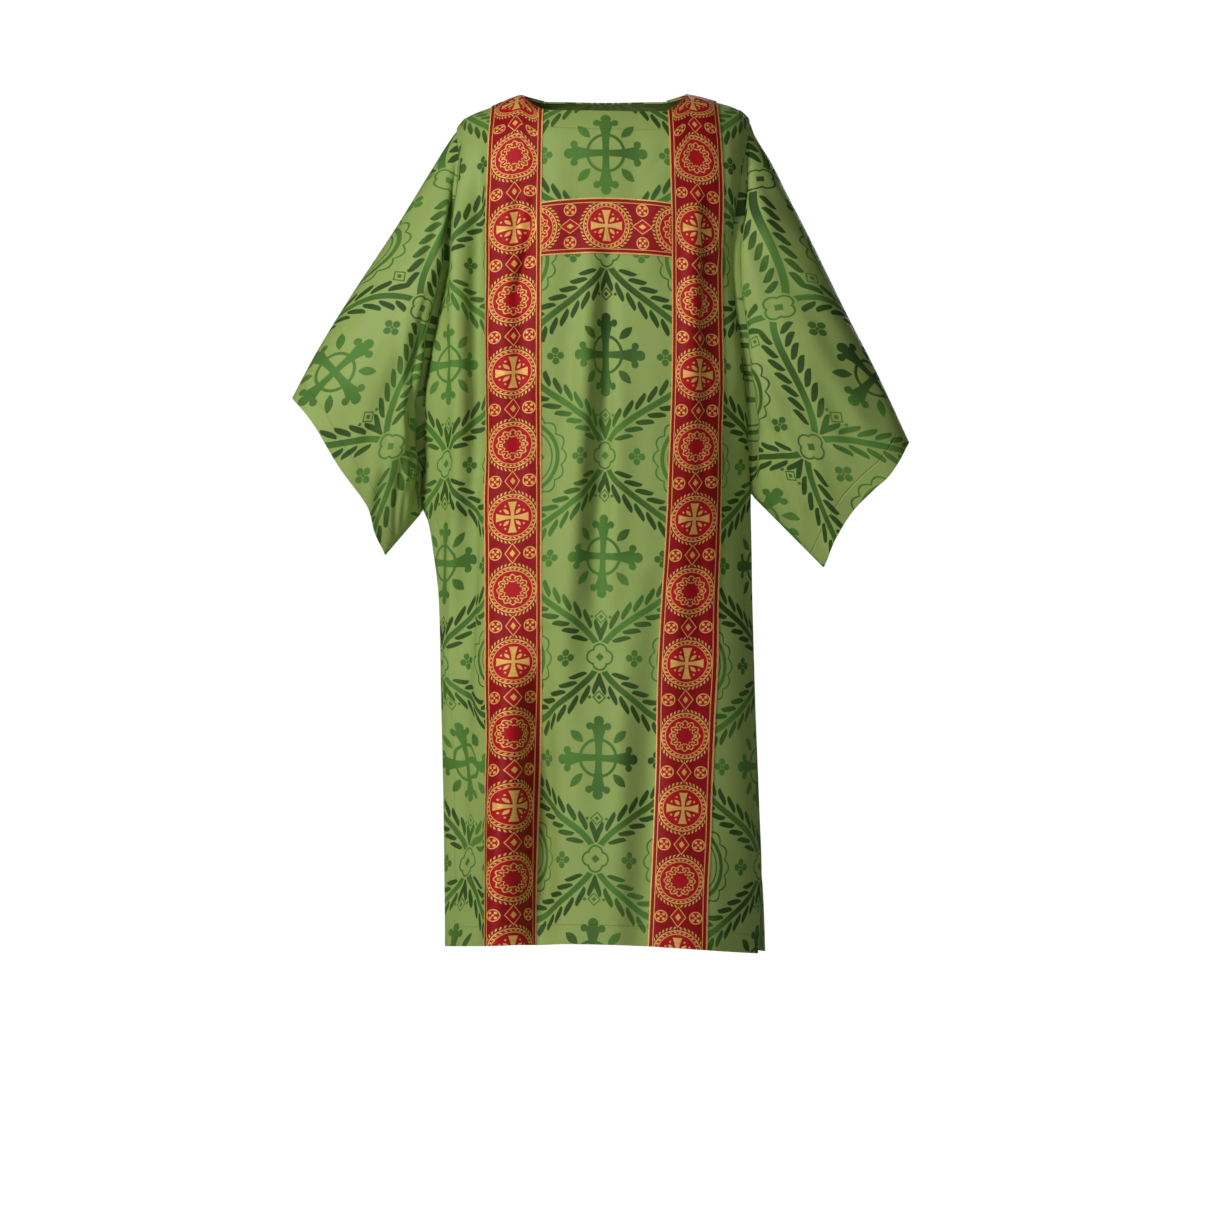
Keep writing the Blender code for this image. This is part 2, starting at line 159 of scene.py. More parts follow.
# Heights at the right edge, in the middle and at the left edge.
CROSSBAND_TOP = (-0.182, -0.148, -0.182)
CROSSBAND_BOTTOM = (-0.247, -0.2255, -0.250)
FRONT_HEM = (-1.1895, -1.1830, -1.2000)
BACK_HEM = (-1.1860, -1.1840, -1.1980)

DEPTHS = MM * np.array((
    # z, front, back
    (20, 112, 98),
    (-150, 121, 116),
    (-350, 125, 120),
    (-600, 119, 106),
    (-900, 123, 114),
    (-1210, 134, 130),
))

FOLD_HOLD = 0.6  # below 1 a fold keeps its depth further towards its ends
FOLD_SKEW = 0.7  # below 1 it is deepest above its middle
FRONT_FOLDS = MM * np.array((
    # top x, top z, foot x, foot z, how far out (in where negative), half its width
    (-198, -150, -200, -640, 6, 12),
    (-174, -130, -175, -620, -6.5, 12),
    (-188, -540, -216, -960, -7.5, 12),
    (-133, -120, -134, -520, 5.5, 12),
    (-114, -110, -118, -640, -6, 13),
    (-14, -200, -58, -800, 7, 16),
    (12, -190, -8, -800, -8.5, 14),
    (126, -130, 118, -620, 6.5, 18),
    (166, -150, 168, -600, -4.5, 14),
    (112, -580, 104, -860, 4, 14),
    (138, -560, 128, -880, -4, 12),
    (42, -660, 4, -1350, 5, 20),
    (78, -660, 54, -1350, -5.5, 18),
    (-130, -780, -190, -1400, 8, 34),
    (-88, -740, -68, -1400, -13, 34),
))
BACK_FOLDS = MM * np.array((
    (-150, -240, -146, -1400, -9, 24),
    (-98, -300, -90, -1400, 8, 26),
    (-36, -180, -30, -900, -7, 24),
    (10, -480, 14, -1400, 10, 28),
    (70, -260, 66, -1400, -10, 24),
    (126, -340, 120, -1400, 8.5, 24),
    (172, -420, 178, -1400, -7, 18),
    (-190, -560, -186, -1400, 7, 16),
))

SLEEVE_TOP = {
    "right": (
        (-0.2060, -0.0476), (-0.2226, -0.0721), (-0.2464, -0.1106), (-0.2968, -0.1918),
        (-0.3556, -0.2807), (-0.4032, -0.3584), (-0.4368, -0.4214),
    ),
    "left": (
        (0.2060, -0.0336), (0.2136, -0.0546), (0.2352, -0.0900), (0.2606, -0.1400),
        (0.2866, -0.1904), (0.3444, -0.3080), (0.3806, -0.3780), (0.4298, -0.4830),
    ),
}
CUFF_EDGE = {
    "right": (
        (-0.4368, -0.4214), (-0.4179, -0.4430), (-0.3976, -0.4718), (-0.3710, -0.5166),
        (-0.3297, -0.5740), (-0.3178, -0.6118), (-0.3038, -0.6426),
    ),
    "left": (
        (0.4298, -0.4830), (0.4004, -0.5306), (0.3780, -0.5516), (0.3486, -0.5818),
        (0.3248, -0.6202), (0.3080, -0.6600),
    ),
}
SLEEVE_FOLD_RUN = 0.35
SLEEVE_FOLDS = {
    "right": (
        # from the armhole at, to the cuff at, how far out, half its width, fullest at
        (0.30, 0.22, 0.0060, 0.090, 0.55),
        (0.52, 0.50, -0.0075, 0.070, 0.40),
        (0.74, 0.70, 0.0060, 0.070, 0.60),
    ),
    "left": (
        (0.26, 0.24, 0.0060, 0.090, 0.50),
        (0.46, 0.52, -0.0070, 0.070, 0.45),
        (0.70, 0.74, 0.0060, 0.070, 0.60),
    ),
}

# Creases too small for the solids: soft troughs and ridges laid out one by one.
CREASE_SKEW = 0.85  # below 1 a crease is deepest before its middle
CREASE_SPREAD = (0.75, 1.25)  # how wide it is at its start and its end, as shares of the width given
FRONT_CREASES = MM * np.array((
    # start x, start z, end x, end z, sideways bow, how far out, half its width
    (-96, -128, -128, -300, -6, -5.2, 5.5),
    (-106, -130, -138, -300, -6, 4.6, 6),
    (-150, -30, -123, -74, 0, -2.4, 5.5),
    (-90, -28, -108, -98, 4, -2, 6),
    (128, -120, 126, -500, 4, 8, 12),
    (148, -130, 147, -500, 3, -7.4, 11),
    (142, -170, 160, -240, 2, 4, 6),
    (150, -260, 130, -350, 2, -4, 6),
    (138, -330, 156, -430, 2, 4, 6),
    (10, -230, -20, -920, 2, -9.4, 14),
    (-15, -230, -62, -920, 0, 8.4, 14),
    (-201, -70, -198.5, -560, 2, 12, 11.5),
    (-176.5, -70, -173, -560, 2, -13, 11.5),
    (-196, -390, -218, -1100, 3, 7, 10),
    (-174, -390, -204, -1100, 3, -12, 12),
    (-126, -780, -148, -1420, 4, 22, 19),
    (-88, -770, -92, -1420, 0, -33, 20),
    (45, -660, 12, -1350, 0, 2.6, 16),
    (74, -660, 48, -1350, 0, -3, 15),
    (178, -560, 186, -1360, 2, 9, 30),
    (-118, -880, -120, -1160, 3, 3.6, 10),
    (-98, -860, -100, -1170, 0, -3.6, 10),
    (115, -720, 114, -880, 2, -3.4, 10),
    (200, -590, 204, -760, 1, -3.6, 7),
    (-170, -60, -176, -260, 4, -3, 11),
    (176, -40, 170, -240, -3, 3, 11),
    (60, -240, 72, -420, 3, -1.6, 12),
    (30, -760, 24, -1060, 4, 2.6, 12),
    (-30, -690, -26, -920, -3, -2.2, 12),
    (90, -70, 62, -135, 2, -1.4, 9),
    (-195, -940, -196, -1150, 3, -2.6, 11),
    (190, -900, 196, -1170, -3, 2.6, 11),
    (-220, -330, -190, -470, 4, -2.2, 11),
    (196, -390, 172, -520, -4, -2.2, 11),
    (-88, -1002, -48, -1018, 0, 3, 6),
    (-125, -535, -112, -562, 0, -2.6, 6),
    (-105, -503, -89, -522, 0, -2.6, 6),
    (132, -490, 148, -560, 2, -3, 7),
))
BACK_CREASES = MM * np.array((
    (112, -110, 135, -290, 5, -3.6, 7),
    (-126, -120, -138, -320, -4, 3.4, 9),
    (6, -90, 2, -430, 4, 3, 13),
    (-30, -130, -28, -360, 2, -2.4, 13),
    (36, -210, 42, -540, -3, -2.6, 12),
    (-62, -390, -68, -790, 4, -3, 11),
    (96, -560, 102, -930, 3, 3.2, 11),
    (-116, -720, -116, -1130, 2, -3, 10),
    (148, -820, 152, -1160, -3, 3, 11),
    (-206, -620, -208, -900, 2, 3.6, 8),
    (200, -600, 204, -860, 2, -3.4, 8),
    (-182, -110, -180, -330, 4, -2.8, 11),
    (170, -90, 166, -300, -4, 2.8, 11),
    (-16, -860, -12, -1150, 3, 2.6, 12),
    (44, -930, 48, -1180, -3, -2.6, 11),
))
# Places on a sleeve run from the armhole, 0, to the cuff, 1, and from its top, 0, to the underside, 1.
SLEEVE_CREASES = {
    "right": (
        # start along, start across, end along, end across, bow, how far out, half its width, front or back
        (0.36, 0.26, 0.34, 1.00, 0.00, 0.0046, 0.055, FRONT),
        (0.21, 0.28, 0.19, 1.00, 0.00, -0.0046, 0.055, FRONT),
        (0.02, 0.10, 0.30, 0.36, 0.03, -0.0034, 0.050, FRONT),
        (0.04, 0.18, 0.34, 0.48, 0.03, 0.0026, 0.050, FRONT),
        (0.04, 0.72, 0.46, 0.62, 0.02, -0.0036, 0.045, FRONT),
        (0.06, 0.84, 0.52, 0.78, -0.02, 0.0030, 0.045, FRONT),
        (0.55, 0.40, 0.98, 0.46, 0.02, -0.0024, 0.060, FRONT),
        (0.60, 0.16, 0.98, 0.20, -0.02, 0.0022, 0.060, FRONT),
        (0.62, 0.72, 0.99, 0.80, 0.02, -0.0030, 0.050, FRONT),
        (0.02, 0.16, 0.40, 0.34, 0.03, -0.0034, 0.050, BACK),
        (0.05, 0.66, 0.50, 0.60, 0.02, 0.0034, 0.050, BACK),
        (0.50, 0.36, 0.97, 0.40, -0.02, -0.0028, 0.060, BACK),
        (0.58, 0.70, 0.98, 0.74, 0.02, 0.0026, 0.055, BACK),
    ),
    "left": (
        (0.01, 0.08, 0.26, 0.30, 0.03, 0.0032, 0.045, FRONT),
        (0.02, 0.18, 0.32, 0.42, 0.03, -0.0032, 0.050, FRONT),
        (0.05, 0.64, 0.44, 0.58, -0.02, 0.0028, 0.050, FRONT),
        (0.04, 0.80, 0.54, 0.74, 0.02, -0.0036, 0.045, FRONT),
        (0.52, 0.34, 0.98, 0.38, 0.02, -0.0024, 0.060, FRONT),
        (0.60, 0.62, 0.99, 0.66, -0.02, 0.0026, 0.055, FRONT),
        (0.66, 0.84, 0.99, 0.88, 0.01, -0.0028, 0.045, FRONT),
        (0.02, 0.14, 0.38, 0.36, 0.03, 0.0034, 0.050, BACK),
        (0.05, 0.70, 0.50, 0.62, -0.02, -0.0036, 0.050, BACK),
        (0.52, 0.42, 0.97, 0.46, 0.02, 0.0026, 0.060, BACK),
        (0.60, 0.74, 0.98, 0.80, -0.02, -0.0026, 0.050, BACK),
    ),
}
# Slow unevenness of hanging cloth, as waves that wander along their length.
WAVE_WANDER, SLACK_WANDER = 0.9, 1.1  # how far they wander, in radians
WAVE_LEAN = 0.3  # how they slant on the sleeves
WAVES = (
    # wavelength across, wandering along, phase, height
    (0.118, 0.62, 0.7, 0.0011),
    (0.071, 0.47, 2.1, 0.0007),
    (0.043, 0.33, 4.4, 0.0004),
)
SLACK_WAVES = (
    # the same, lying across the cloth
    (0.210, 0.30, 1.3, 0.0008),
    (0.127, 0.22, 3.6, 0.0004),
)

# How finely each stretch is divided, and how its steps gather.
COLUMN_STEPS = {"side": 22, "band": 20, "middle": 40}
ROW_STEPS = {"shoulder": 40, "crossband": 20, "armhole": 74, "skirt": 126}
ROW_GATHER = {"shoulder": 1.5, "crossband": 1.0, "armhole": 0.8, "skirt": 1.0}
SLEEVE_STEPS = 92
SLEEVE_GATHER = 1.15
SHARP_ANGLE = math.radians(50)

# The brocade's repeat: an ogee lattice of leafy stems, with a large figure in each of its two fields.
REPEAT_WIDTH, REPEAT_HEIGHT = 0.270, 0.280
SLEEVE_GRAIN = math.radians(34)  # how far the sleeves' cloth is turned
STEM = 0.0042  # half the stem's width
LEAF_PITCH = 0.01967
LEAF_START = 0.0055
LEAF_LENGTH = 0.028
LEAF_HALF_WIDTH = 0.0050
LEAF_TILT = math.radians(36)
STEM_STOP = 0.021  # how far from a crossing's centre the stems end
FIRST_LEAF, LAST_LEAF = 0.015, 0.160  # along a stem from one crossing to the next
BLUR = 0.0006  # a figure's edge steps from thread to thread
BAND_BLUR = 0.0005
BAND_PITCH = 0.1006  # between the centres of a band's figures
BAND_PHASE = 0.0432  # from the crossband's lower edge up to the centre of a figure

GROUND = (146, 168, 90)
GROUND_LIGHT = (158, 181, 99)
FIGURE = (88, 134, 56)
FIGURE_DARK = (52, 80, 30)
REVERSE = (96, 118, 62)
RED = (192, 14, 28)
RED_DARK = (156, 6, 20)
GOLD = (255, 208, 118)
GOLD_DARK = (220, 158, 72)
GREEN_THREAD = (120, 150, 66)

# How high the weave stands.
FIGURE_RISE = 0.00010
FUZZ = 0.00004
SEWN_DENT = 0.0007  # how deep a row of hem stitches sinks
SEWN_REACH = 0.0016  # half the width of that dent
GOLD_RISE = 0.00022
RIB_PITCH, RIB_RISE = 0.0009, 0.00004  # the ribs across a band
LOW_GLOSS = 0.22

# The studio.
LAMP_AIM = (0.0, 0.0, -0.60)
LAMPS = (
    # name, place, width, power
    ("key", (-2.62, -3.12, 1.05), 1.2, 126.0),
    ("fill", (1.9, -4.2, 0.6), 1.7, 24.0),
    ("back", (0.8, 4.2, 0.5), 2.4, 74.0),
)
AMBIENT = 0.05
SEEN_WHITE = 1.02  # how bright the camera sees the floor and all round it
FLOOR_HEIGHT = -1.545
FLOOR_RADIUS = 30.0
FLOOR_SIDES = 64
FLOOR_GREY = 0.50

# The camera looks straight at the front from the height of the photograph's middle.
PHOTO_SIZE = 1214
PIXEL = 0.0014  # metres to a pixel at the garment
MIDDLE_COLUMN, ORIGIN_ROW = 603, 96  # where x = 0 and z = 0 lie in the photograph
CAMERA_DISTANCE = 12.0
SENSOR = 36.0


def along(table, column, at):
    """Reads a table's column at heights or shares, on a smooth curve through its rows."""
    rows = np.array(table, float)
    rows = rows[np.argsort(rows[:, 0])]
    places, values = rows[:, 0], rows[:, column]
    last = len(rows) - 1
    order = np.arange(len(rows))
    before, after = np.maximum(order - 1, 0), np.minimum(order + 1, last)
    slopes = (values[after] - values[before]) / (places[after] - places[before])
    at = np.clip(at, places[0], places[-1])
    low = np.clip(np.searchsorted(places, at, side="right") - 1, 0, last - 1)
    span = places[low + 1] - places[low]
    t = (at - places[low]) / span
    return (
        (2 * t**3 - 3 * t**2 + 1) * values[low]
        + (t**3 - 2 * t**2 + t) * span * slopes[low]
        + (3 * t**2 - 2 * t**3) * values[low + 1]
        + (t**3 - t**2) * span * slopes[low + 1]
    )


def mix(a, b, t):
    return a + (b - a) * t


def bell(offset):
    return np.exp(-(offset**2))


def smooth(t):
    """Rises from 0 to 1 as t does, level at both ends."""
    t = np.clip(t, 0.0, 1.0)
    return t * t * (3 - 2 * t)


def unit(vectors):
    return vectors / np.maximum(np.linalg.norm(vectors, axis=-1, keepdims=True), 1e-12)


def across(heights, x):
    share = np.clip((x + BODY_HALF_WIDTH) / (2 * BODY_HALF_WIDTH), 0.0, 1.0)
    right, middle, left = heights
    return mix(right, left, share) + (middle - (right + left) / 2) * np.sin(math.pi * share)


def top_height(x, side):
    """The upper edge of a panel: a shoulder seam, or the neckline between them."""
    share = (x - NECK_RIGHT) / (NECK_LEFT - NECK_RIGHT)
    drop = along(NECK_DROP, 1 if side == FRONT else 2, share)
    return along(SHOULDER_LINE, 1, x) - np.where((0 < share) & (share < 1), drop, 0.0)


def edge_x(z, side, which):
    x = along(EDGES, 1 if which == "right" else 2, z)
    if side == BACK and which == "left":
        x = x + BACK_FLARE * np.maximum(BACK_FLARE_FROM - z, 0) / (BACK_FLARE_FROM - BACK_HEM[2])
    return x


def column_lines():
    """The columns of a panel, each a share of the way between two of its key lines."""
    key_lines = ("right edge", *BAND_LINES, "left edge")
    lines = []
    for part, name in enumerate(("side", "band", "middle", "band", "side")):
        count = COLUMN_STEPS[name]
        lines += [(key_lines[part], key_lines[part + 1], i / count) for i in range(count)]
    lines.append((key_lines[-2], key_lines[-1], 1.0))
    return lines


def key_x(line, z, side):
    if line.endswith("edge"):
        return edge_x(z, side, line.split()[0])
    return along(BANDS, 1 + BAND_LINES.index(line), z)


def column_x(column, z, side):
    start, end, share = column
    return mix(key_x(start, z, side), key_x(end, z, side), share)


def fold_depth(folds, x, z):
    """How far the folds push the cloth out at these places."""
    out = 0.0
    for top_x, top_z, foot_x, foot_z, height, half_width in folds:
        t = np.clip((top_z - z) / (top_z - foot_z), 0.0, 1.0)
        depth = height * np.abs(np.sin(math.pi * t**FOLD_SKEW)) ** FOLD_HOLD
        out = out + depth * bell((x - mix(top_x, foot_x, t)) / half_width)
    return out


def panel_y(x, z, side):
    """Distance of a panel's outer face from the middle plane, with the sign of its side."""
    right, left = edge_x(z, side, "right"), edge_x(z, side, "left")
    offset = np.minimum(np.abs(2 * (x - right) / (left - right) - 1), 1.0)
    edge = along(EDGES, 3, z)
    fullness = 1 - offset**EDGE_ROUND
    depth = edge + (along(DEPTHS, 1 if side == FRONT else 2, z) - edge) * fullness
    depth = depth + fold_depth(FRONT_FOLDS if side == FRONT else BACK_FOLDS, x, z) * fullness**0.5
    rolled = np.clip((along(SHOULDER_LINE, 1, x) - z) / SHOULDER_ROUND, 0.0, 1.0)
    return side * depth * np.sqrt(1 - (1 - rolled) ** 2)


def row_heights(column, side):
    """Heights of one column's points, top to bottom, through the rows that the pieces share."""
    top = 0.0
    # The columns lean, so a column's top is found in a few steps.
    for _ in range(4):
        top = float(top_height(column_x(column, top, side), side))
    x = column_x(column, CROSSBAND_TOP[1], side)
    underarm = mix(*UNDERARM, (x + BODY_HALF_WIDTH) / (2 * BODY_HALF_WIDTH))
    hem = FRONT_HEM if side == FRONT else BACK_HEM
    hem = across(hem, column_x(column, hem[1], side))
    marks = (top, across(CROSSBAND_TOP, x), across(CROSSBAND_BOTTOM, x), underarm, hem)
    heights = [np.array([top])]
    for part, (name, count) in enumerate(ROW_STEPS.items()):
        share = np.arange(1, count + 1) / count
        heights.append(mix(marks[part], marks[part + 1], share ** ROW_GATHER[name]))
    return np.concatenate(heights)


def armhole_rows():
    return ROW_STEPS["shoulder"] + ROW_STEPS["crossband"] + ROW_STEPS["armhole"]


def band_columns(which):
    """The first and last column of a band."""
    first = COLUMN_STEPS["side"]
    if which == "left":
        first += COLUMN_STEPS["band"] + COLUMN_STEPS["middle"]
    return first, first + COLUMN_STEPS["band"]


def arcs(grid, axis, start):
    """Length along the cloth from the row or column that start names, with its sign."""
    steps = np.linalg.norm(np.diff(grid, axis=axis), axis=-1)
    first = np.zeros_like(np.take(steps, [0], axis=axis))
    total = np.concatenate([first, np.cumsum(steps, axis=axis)], axis=axis)
    return total - np.take(total, [start], axis=axis)


def closed(rings):
    """Rings of places with the first of each again at its end."""
    return np.concatenate([rings, rings[:, :1]], axis=1)


def grid_normals(grid, outward, wraps=False):
    """A unit normal at each point of a grid, on the side that outward points to."""
    if wraps:
        run = np.roll(grid, -1, axis=1) - np.roll(grid, 1, axis=1)
    else:
        run = np.gradient(grid, axis=1)
    normals = unit(np.cross(run, np.gradient(grid, axis=0)))
    facing = np.sum(normals * outward, axis=-1, keepdims=True)
    return np.where(facing < 0, -normals, normals)


def crease_depth(creases, x, z):
    """How far the small creases push the cloth out. Each fades out at both its ends."""
    out = np.zeros_like(x)
    for start_x, start_z, end_x, end_z, bow, height, half_width in creases:
        run_x, run_z = end_x - start_x, end_z - start_z
        length = math.hypot(run_x, run_z)
        t = np.clip(((x - start_x) * run_x + (z - start_z) * run_z) / length**2, 0.0, 1.0)
        off = ((x - start_x) * run_z - (z - start_z) * run_x) / length - bow * 4 * t * (1 - t)
        out += height * np.sin(math.pi * t**CREASE_SKEW) * bell(off / (half_width * mix(*CREASE_SPREAD, t)))
    return out


def waves(x, z):
    out = np.zeros_like(x)
    for table, reach, over, beside in ((WAVES, WAVE_WANDER, x, z), (SLACK_WAVES, SLACK_WANDER, z, x)):
        for length, wander, phase, height in table:
            bend = reach * np.sin(2 * math.pi * beside / wander + phase)
            out += height * np.sin(2 * math.pi * over / length + bend + phase)
    return out


def armhole_normals(edge, side):
    """Out of the armhole's ring, so that the two rims sewn together there lie face to face."""
    run = np.gradient(edge, axis=0)
    normals = unit(np.stack([np.zeros(len(edge)), -run[:, 2], run[:, 1]], axis=-1))
    return np.where(normals[:, 1:2] * side < 0, -normals, normals)


class Panel:
    """The front or the back: its outer face as a grid, with what its hems, seams and bands need."""

    def __init__(self, side):
        self.side = side
        columns = []
        for column in column_lines():
            z = row_heights(column, side)
            x = column_x(column, z, side)
            columns.append(np.stack([x, panel_y(x, z, side), z], axis=-1))
        self.grid = np.stack(columns, axis=1)
        self.outward = np.array([0.0, side, 0.001])
        self.middle = self.grid.shape[1] // 2
        self.zero_row = ROW_STEPS["shoulder"] + ROW_STEPS["crossband"]
        self.underarm_row = armhole_rows()
        self.measure()
        self.crease()
        self.measure()
        self.normals = grid_normals(self.grid, self.outward)
        self.seam_normals()

    def measure(self):
        """Lengths along the cloth, and distances to its edges and seams."""
        self.u = arcs(self.grid, 1, self.middle)
        self.v = -arcs(self.grid, 0, self.zero_row)
        self.from_top = self.v[:1] - self.v
        self.from_hem = self.v - self.v[-1:]
        self.from_side = np.minimum(self.u - self.u[:, :1], self.u[:, -1:] - self.u)
        x = self.grid[0, :, 0]
        self.neck_columns = (x > NECK_RIGHT) & (x < NECK_LEFT)

    def hem_distance(self):
        """To the nearest open edge: the lower hem, or a side slit below the underarm."""
        slit = self.from_side + FAR_OFF * (np.arange(len(self.grid)) < self.underarm_row)[:, None]
        return np.minimum(self.from_hem, slit)

    def neck_distance(self):
        """To the neckline, and past any facing where the top edge is a shoulder seam."""
        return self.from_top + np.where(self.neck_columns, 0.0, FAR_OFF)[None, :]

    def crease(self):
        """Moves the outer face by its creases, its unevenness and the pull of its seams."""
        x, z = self.grid[..., 0], self.grid[..., 2]
        normals = grid_normals(self.grid, self.outward)
        held = smooth(self.from_top / HELD_TOP) * smooth(self.from_side / HELD_SIDE + HELD_LEAST)
        creases = FRONT_CREASES if self.side == FRONT else BACK_CREASES
        move = (crease_depth(creases, x, z) + waves(x * self.side, z)) * held
        seam_rows = (np.arange(len(z)) < self.underarm_row)[:, None]
        move -= SEAM_DIP * bell(self.from_side / SEAM_REACH) * seam_rows
        from_shoulder, from_underarm = ARMHOLE_RAMPS
        armhole = bell(self.from_side / ARMHOLE_REACH) * smooth(self.from_top / from_shoulder)
        move -= ARMHOLE_DIP * armhole * smooth((z - z[self.underarm_row]) / from_underarm)
        move -= SEAM_DIP * bell(self.from_top / SEAM_REACH) * ~self.neck_columns[None, :]
        move += self.pucker()
        self.grid = self.grid + normals * move[..., None]
        self.grid[0, ~self.neck_columns, 1] = 0.0

    def pucker(self):
        """Small waves beside the edges of the bands, where stitches draw the cloth in."""
        out = np.zeros_like(self.u)
        for which in SIDES:
            for turn, column in enumerate(band_columns(which)):
                off = self.u - self.u[:, column : column + 1]
                wave = np.sin(2 * math.pi * self.v / PUCKER_PITCH + 1.7 * turn + 2 * np.sin(self.v * 23))
                out += PUCKER * wave * bell(off / PUCKER_REACH)
        return out * smooth(self.from_top / 0.02)

    def seam_normals(self):
        self.normals[0, ~self.neck_columns, 1] = 0.0
        self.normals[0] = unit(self.normals[0])
        last = self.underarm_row
        for column in (0, -1):
            seam = armhole_normals(self.grid[: last + 1, column], self.side)
            self.normals[1:last, column] = seam[1:last]
            self.normals[0, column] = (0.0, 0.0, 1.0)
            self.normals[last, column] = unit(np.array([0.0, self.side, -1.0]))

    def wall(self):
        hem = doubled(self.hem_distance(), HEM_DEPTH)
        return mix(WALL, HEM_WALL, np.maximum(hem, doubled(self.neck_distance(), FACING_DEPTH)))


def doubled(distance, depth):
    """1 where a hem or a facing of this depth doubles the cloth, falling to 0 beyond it."""
    return 1 - smooth((distance - depth) / HEM_RAMP)


def outline_point(outline, share):
    """Points at shares of an outline's length, on a smooth curve through its points."""
    points = np.array(outline)
    lengths = np.concatenate([[0.0], np.cumsum(np.linalg.norm(np.diff(points, axis=0), axis=1))])
    rows = [(length / lengths[-1], x, z) for length, (x, z) in zip(lengths, points)]
    x, z = along(rows, 1, share), along(rows, 2, share)
    return np.stack([x, np.zeros_like(x), z], axis=-1)


def teardrop(share):
    """Half the thickness of a hanging cuff, 0 at the top, 1 at its fullest, 0 again at the foot."""
    foot = 0.5 * (1 - CUFF_FULLEST) / CUFF_FULLEST
    peak = CUFF_FULLEST**0.5 * (1 - CUFF_FULLEST) ** foot
    return share**0.5 * (1 - share) ** foot / peak


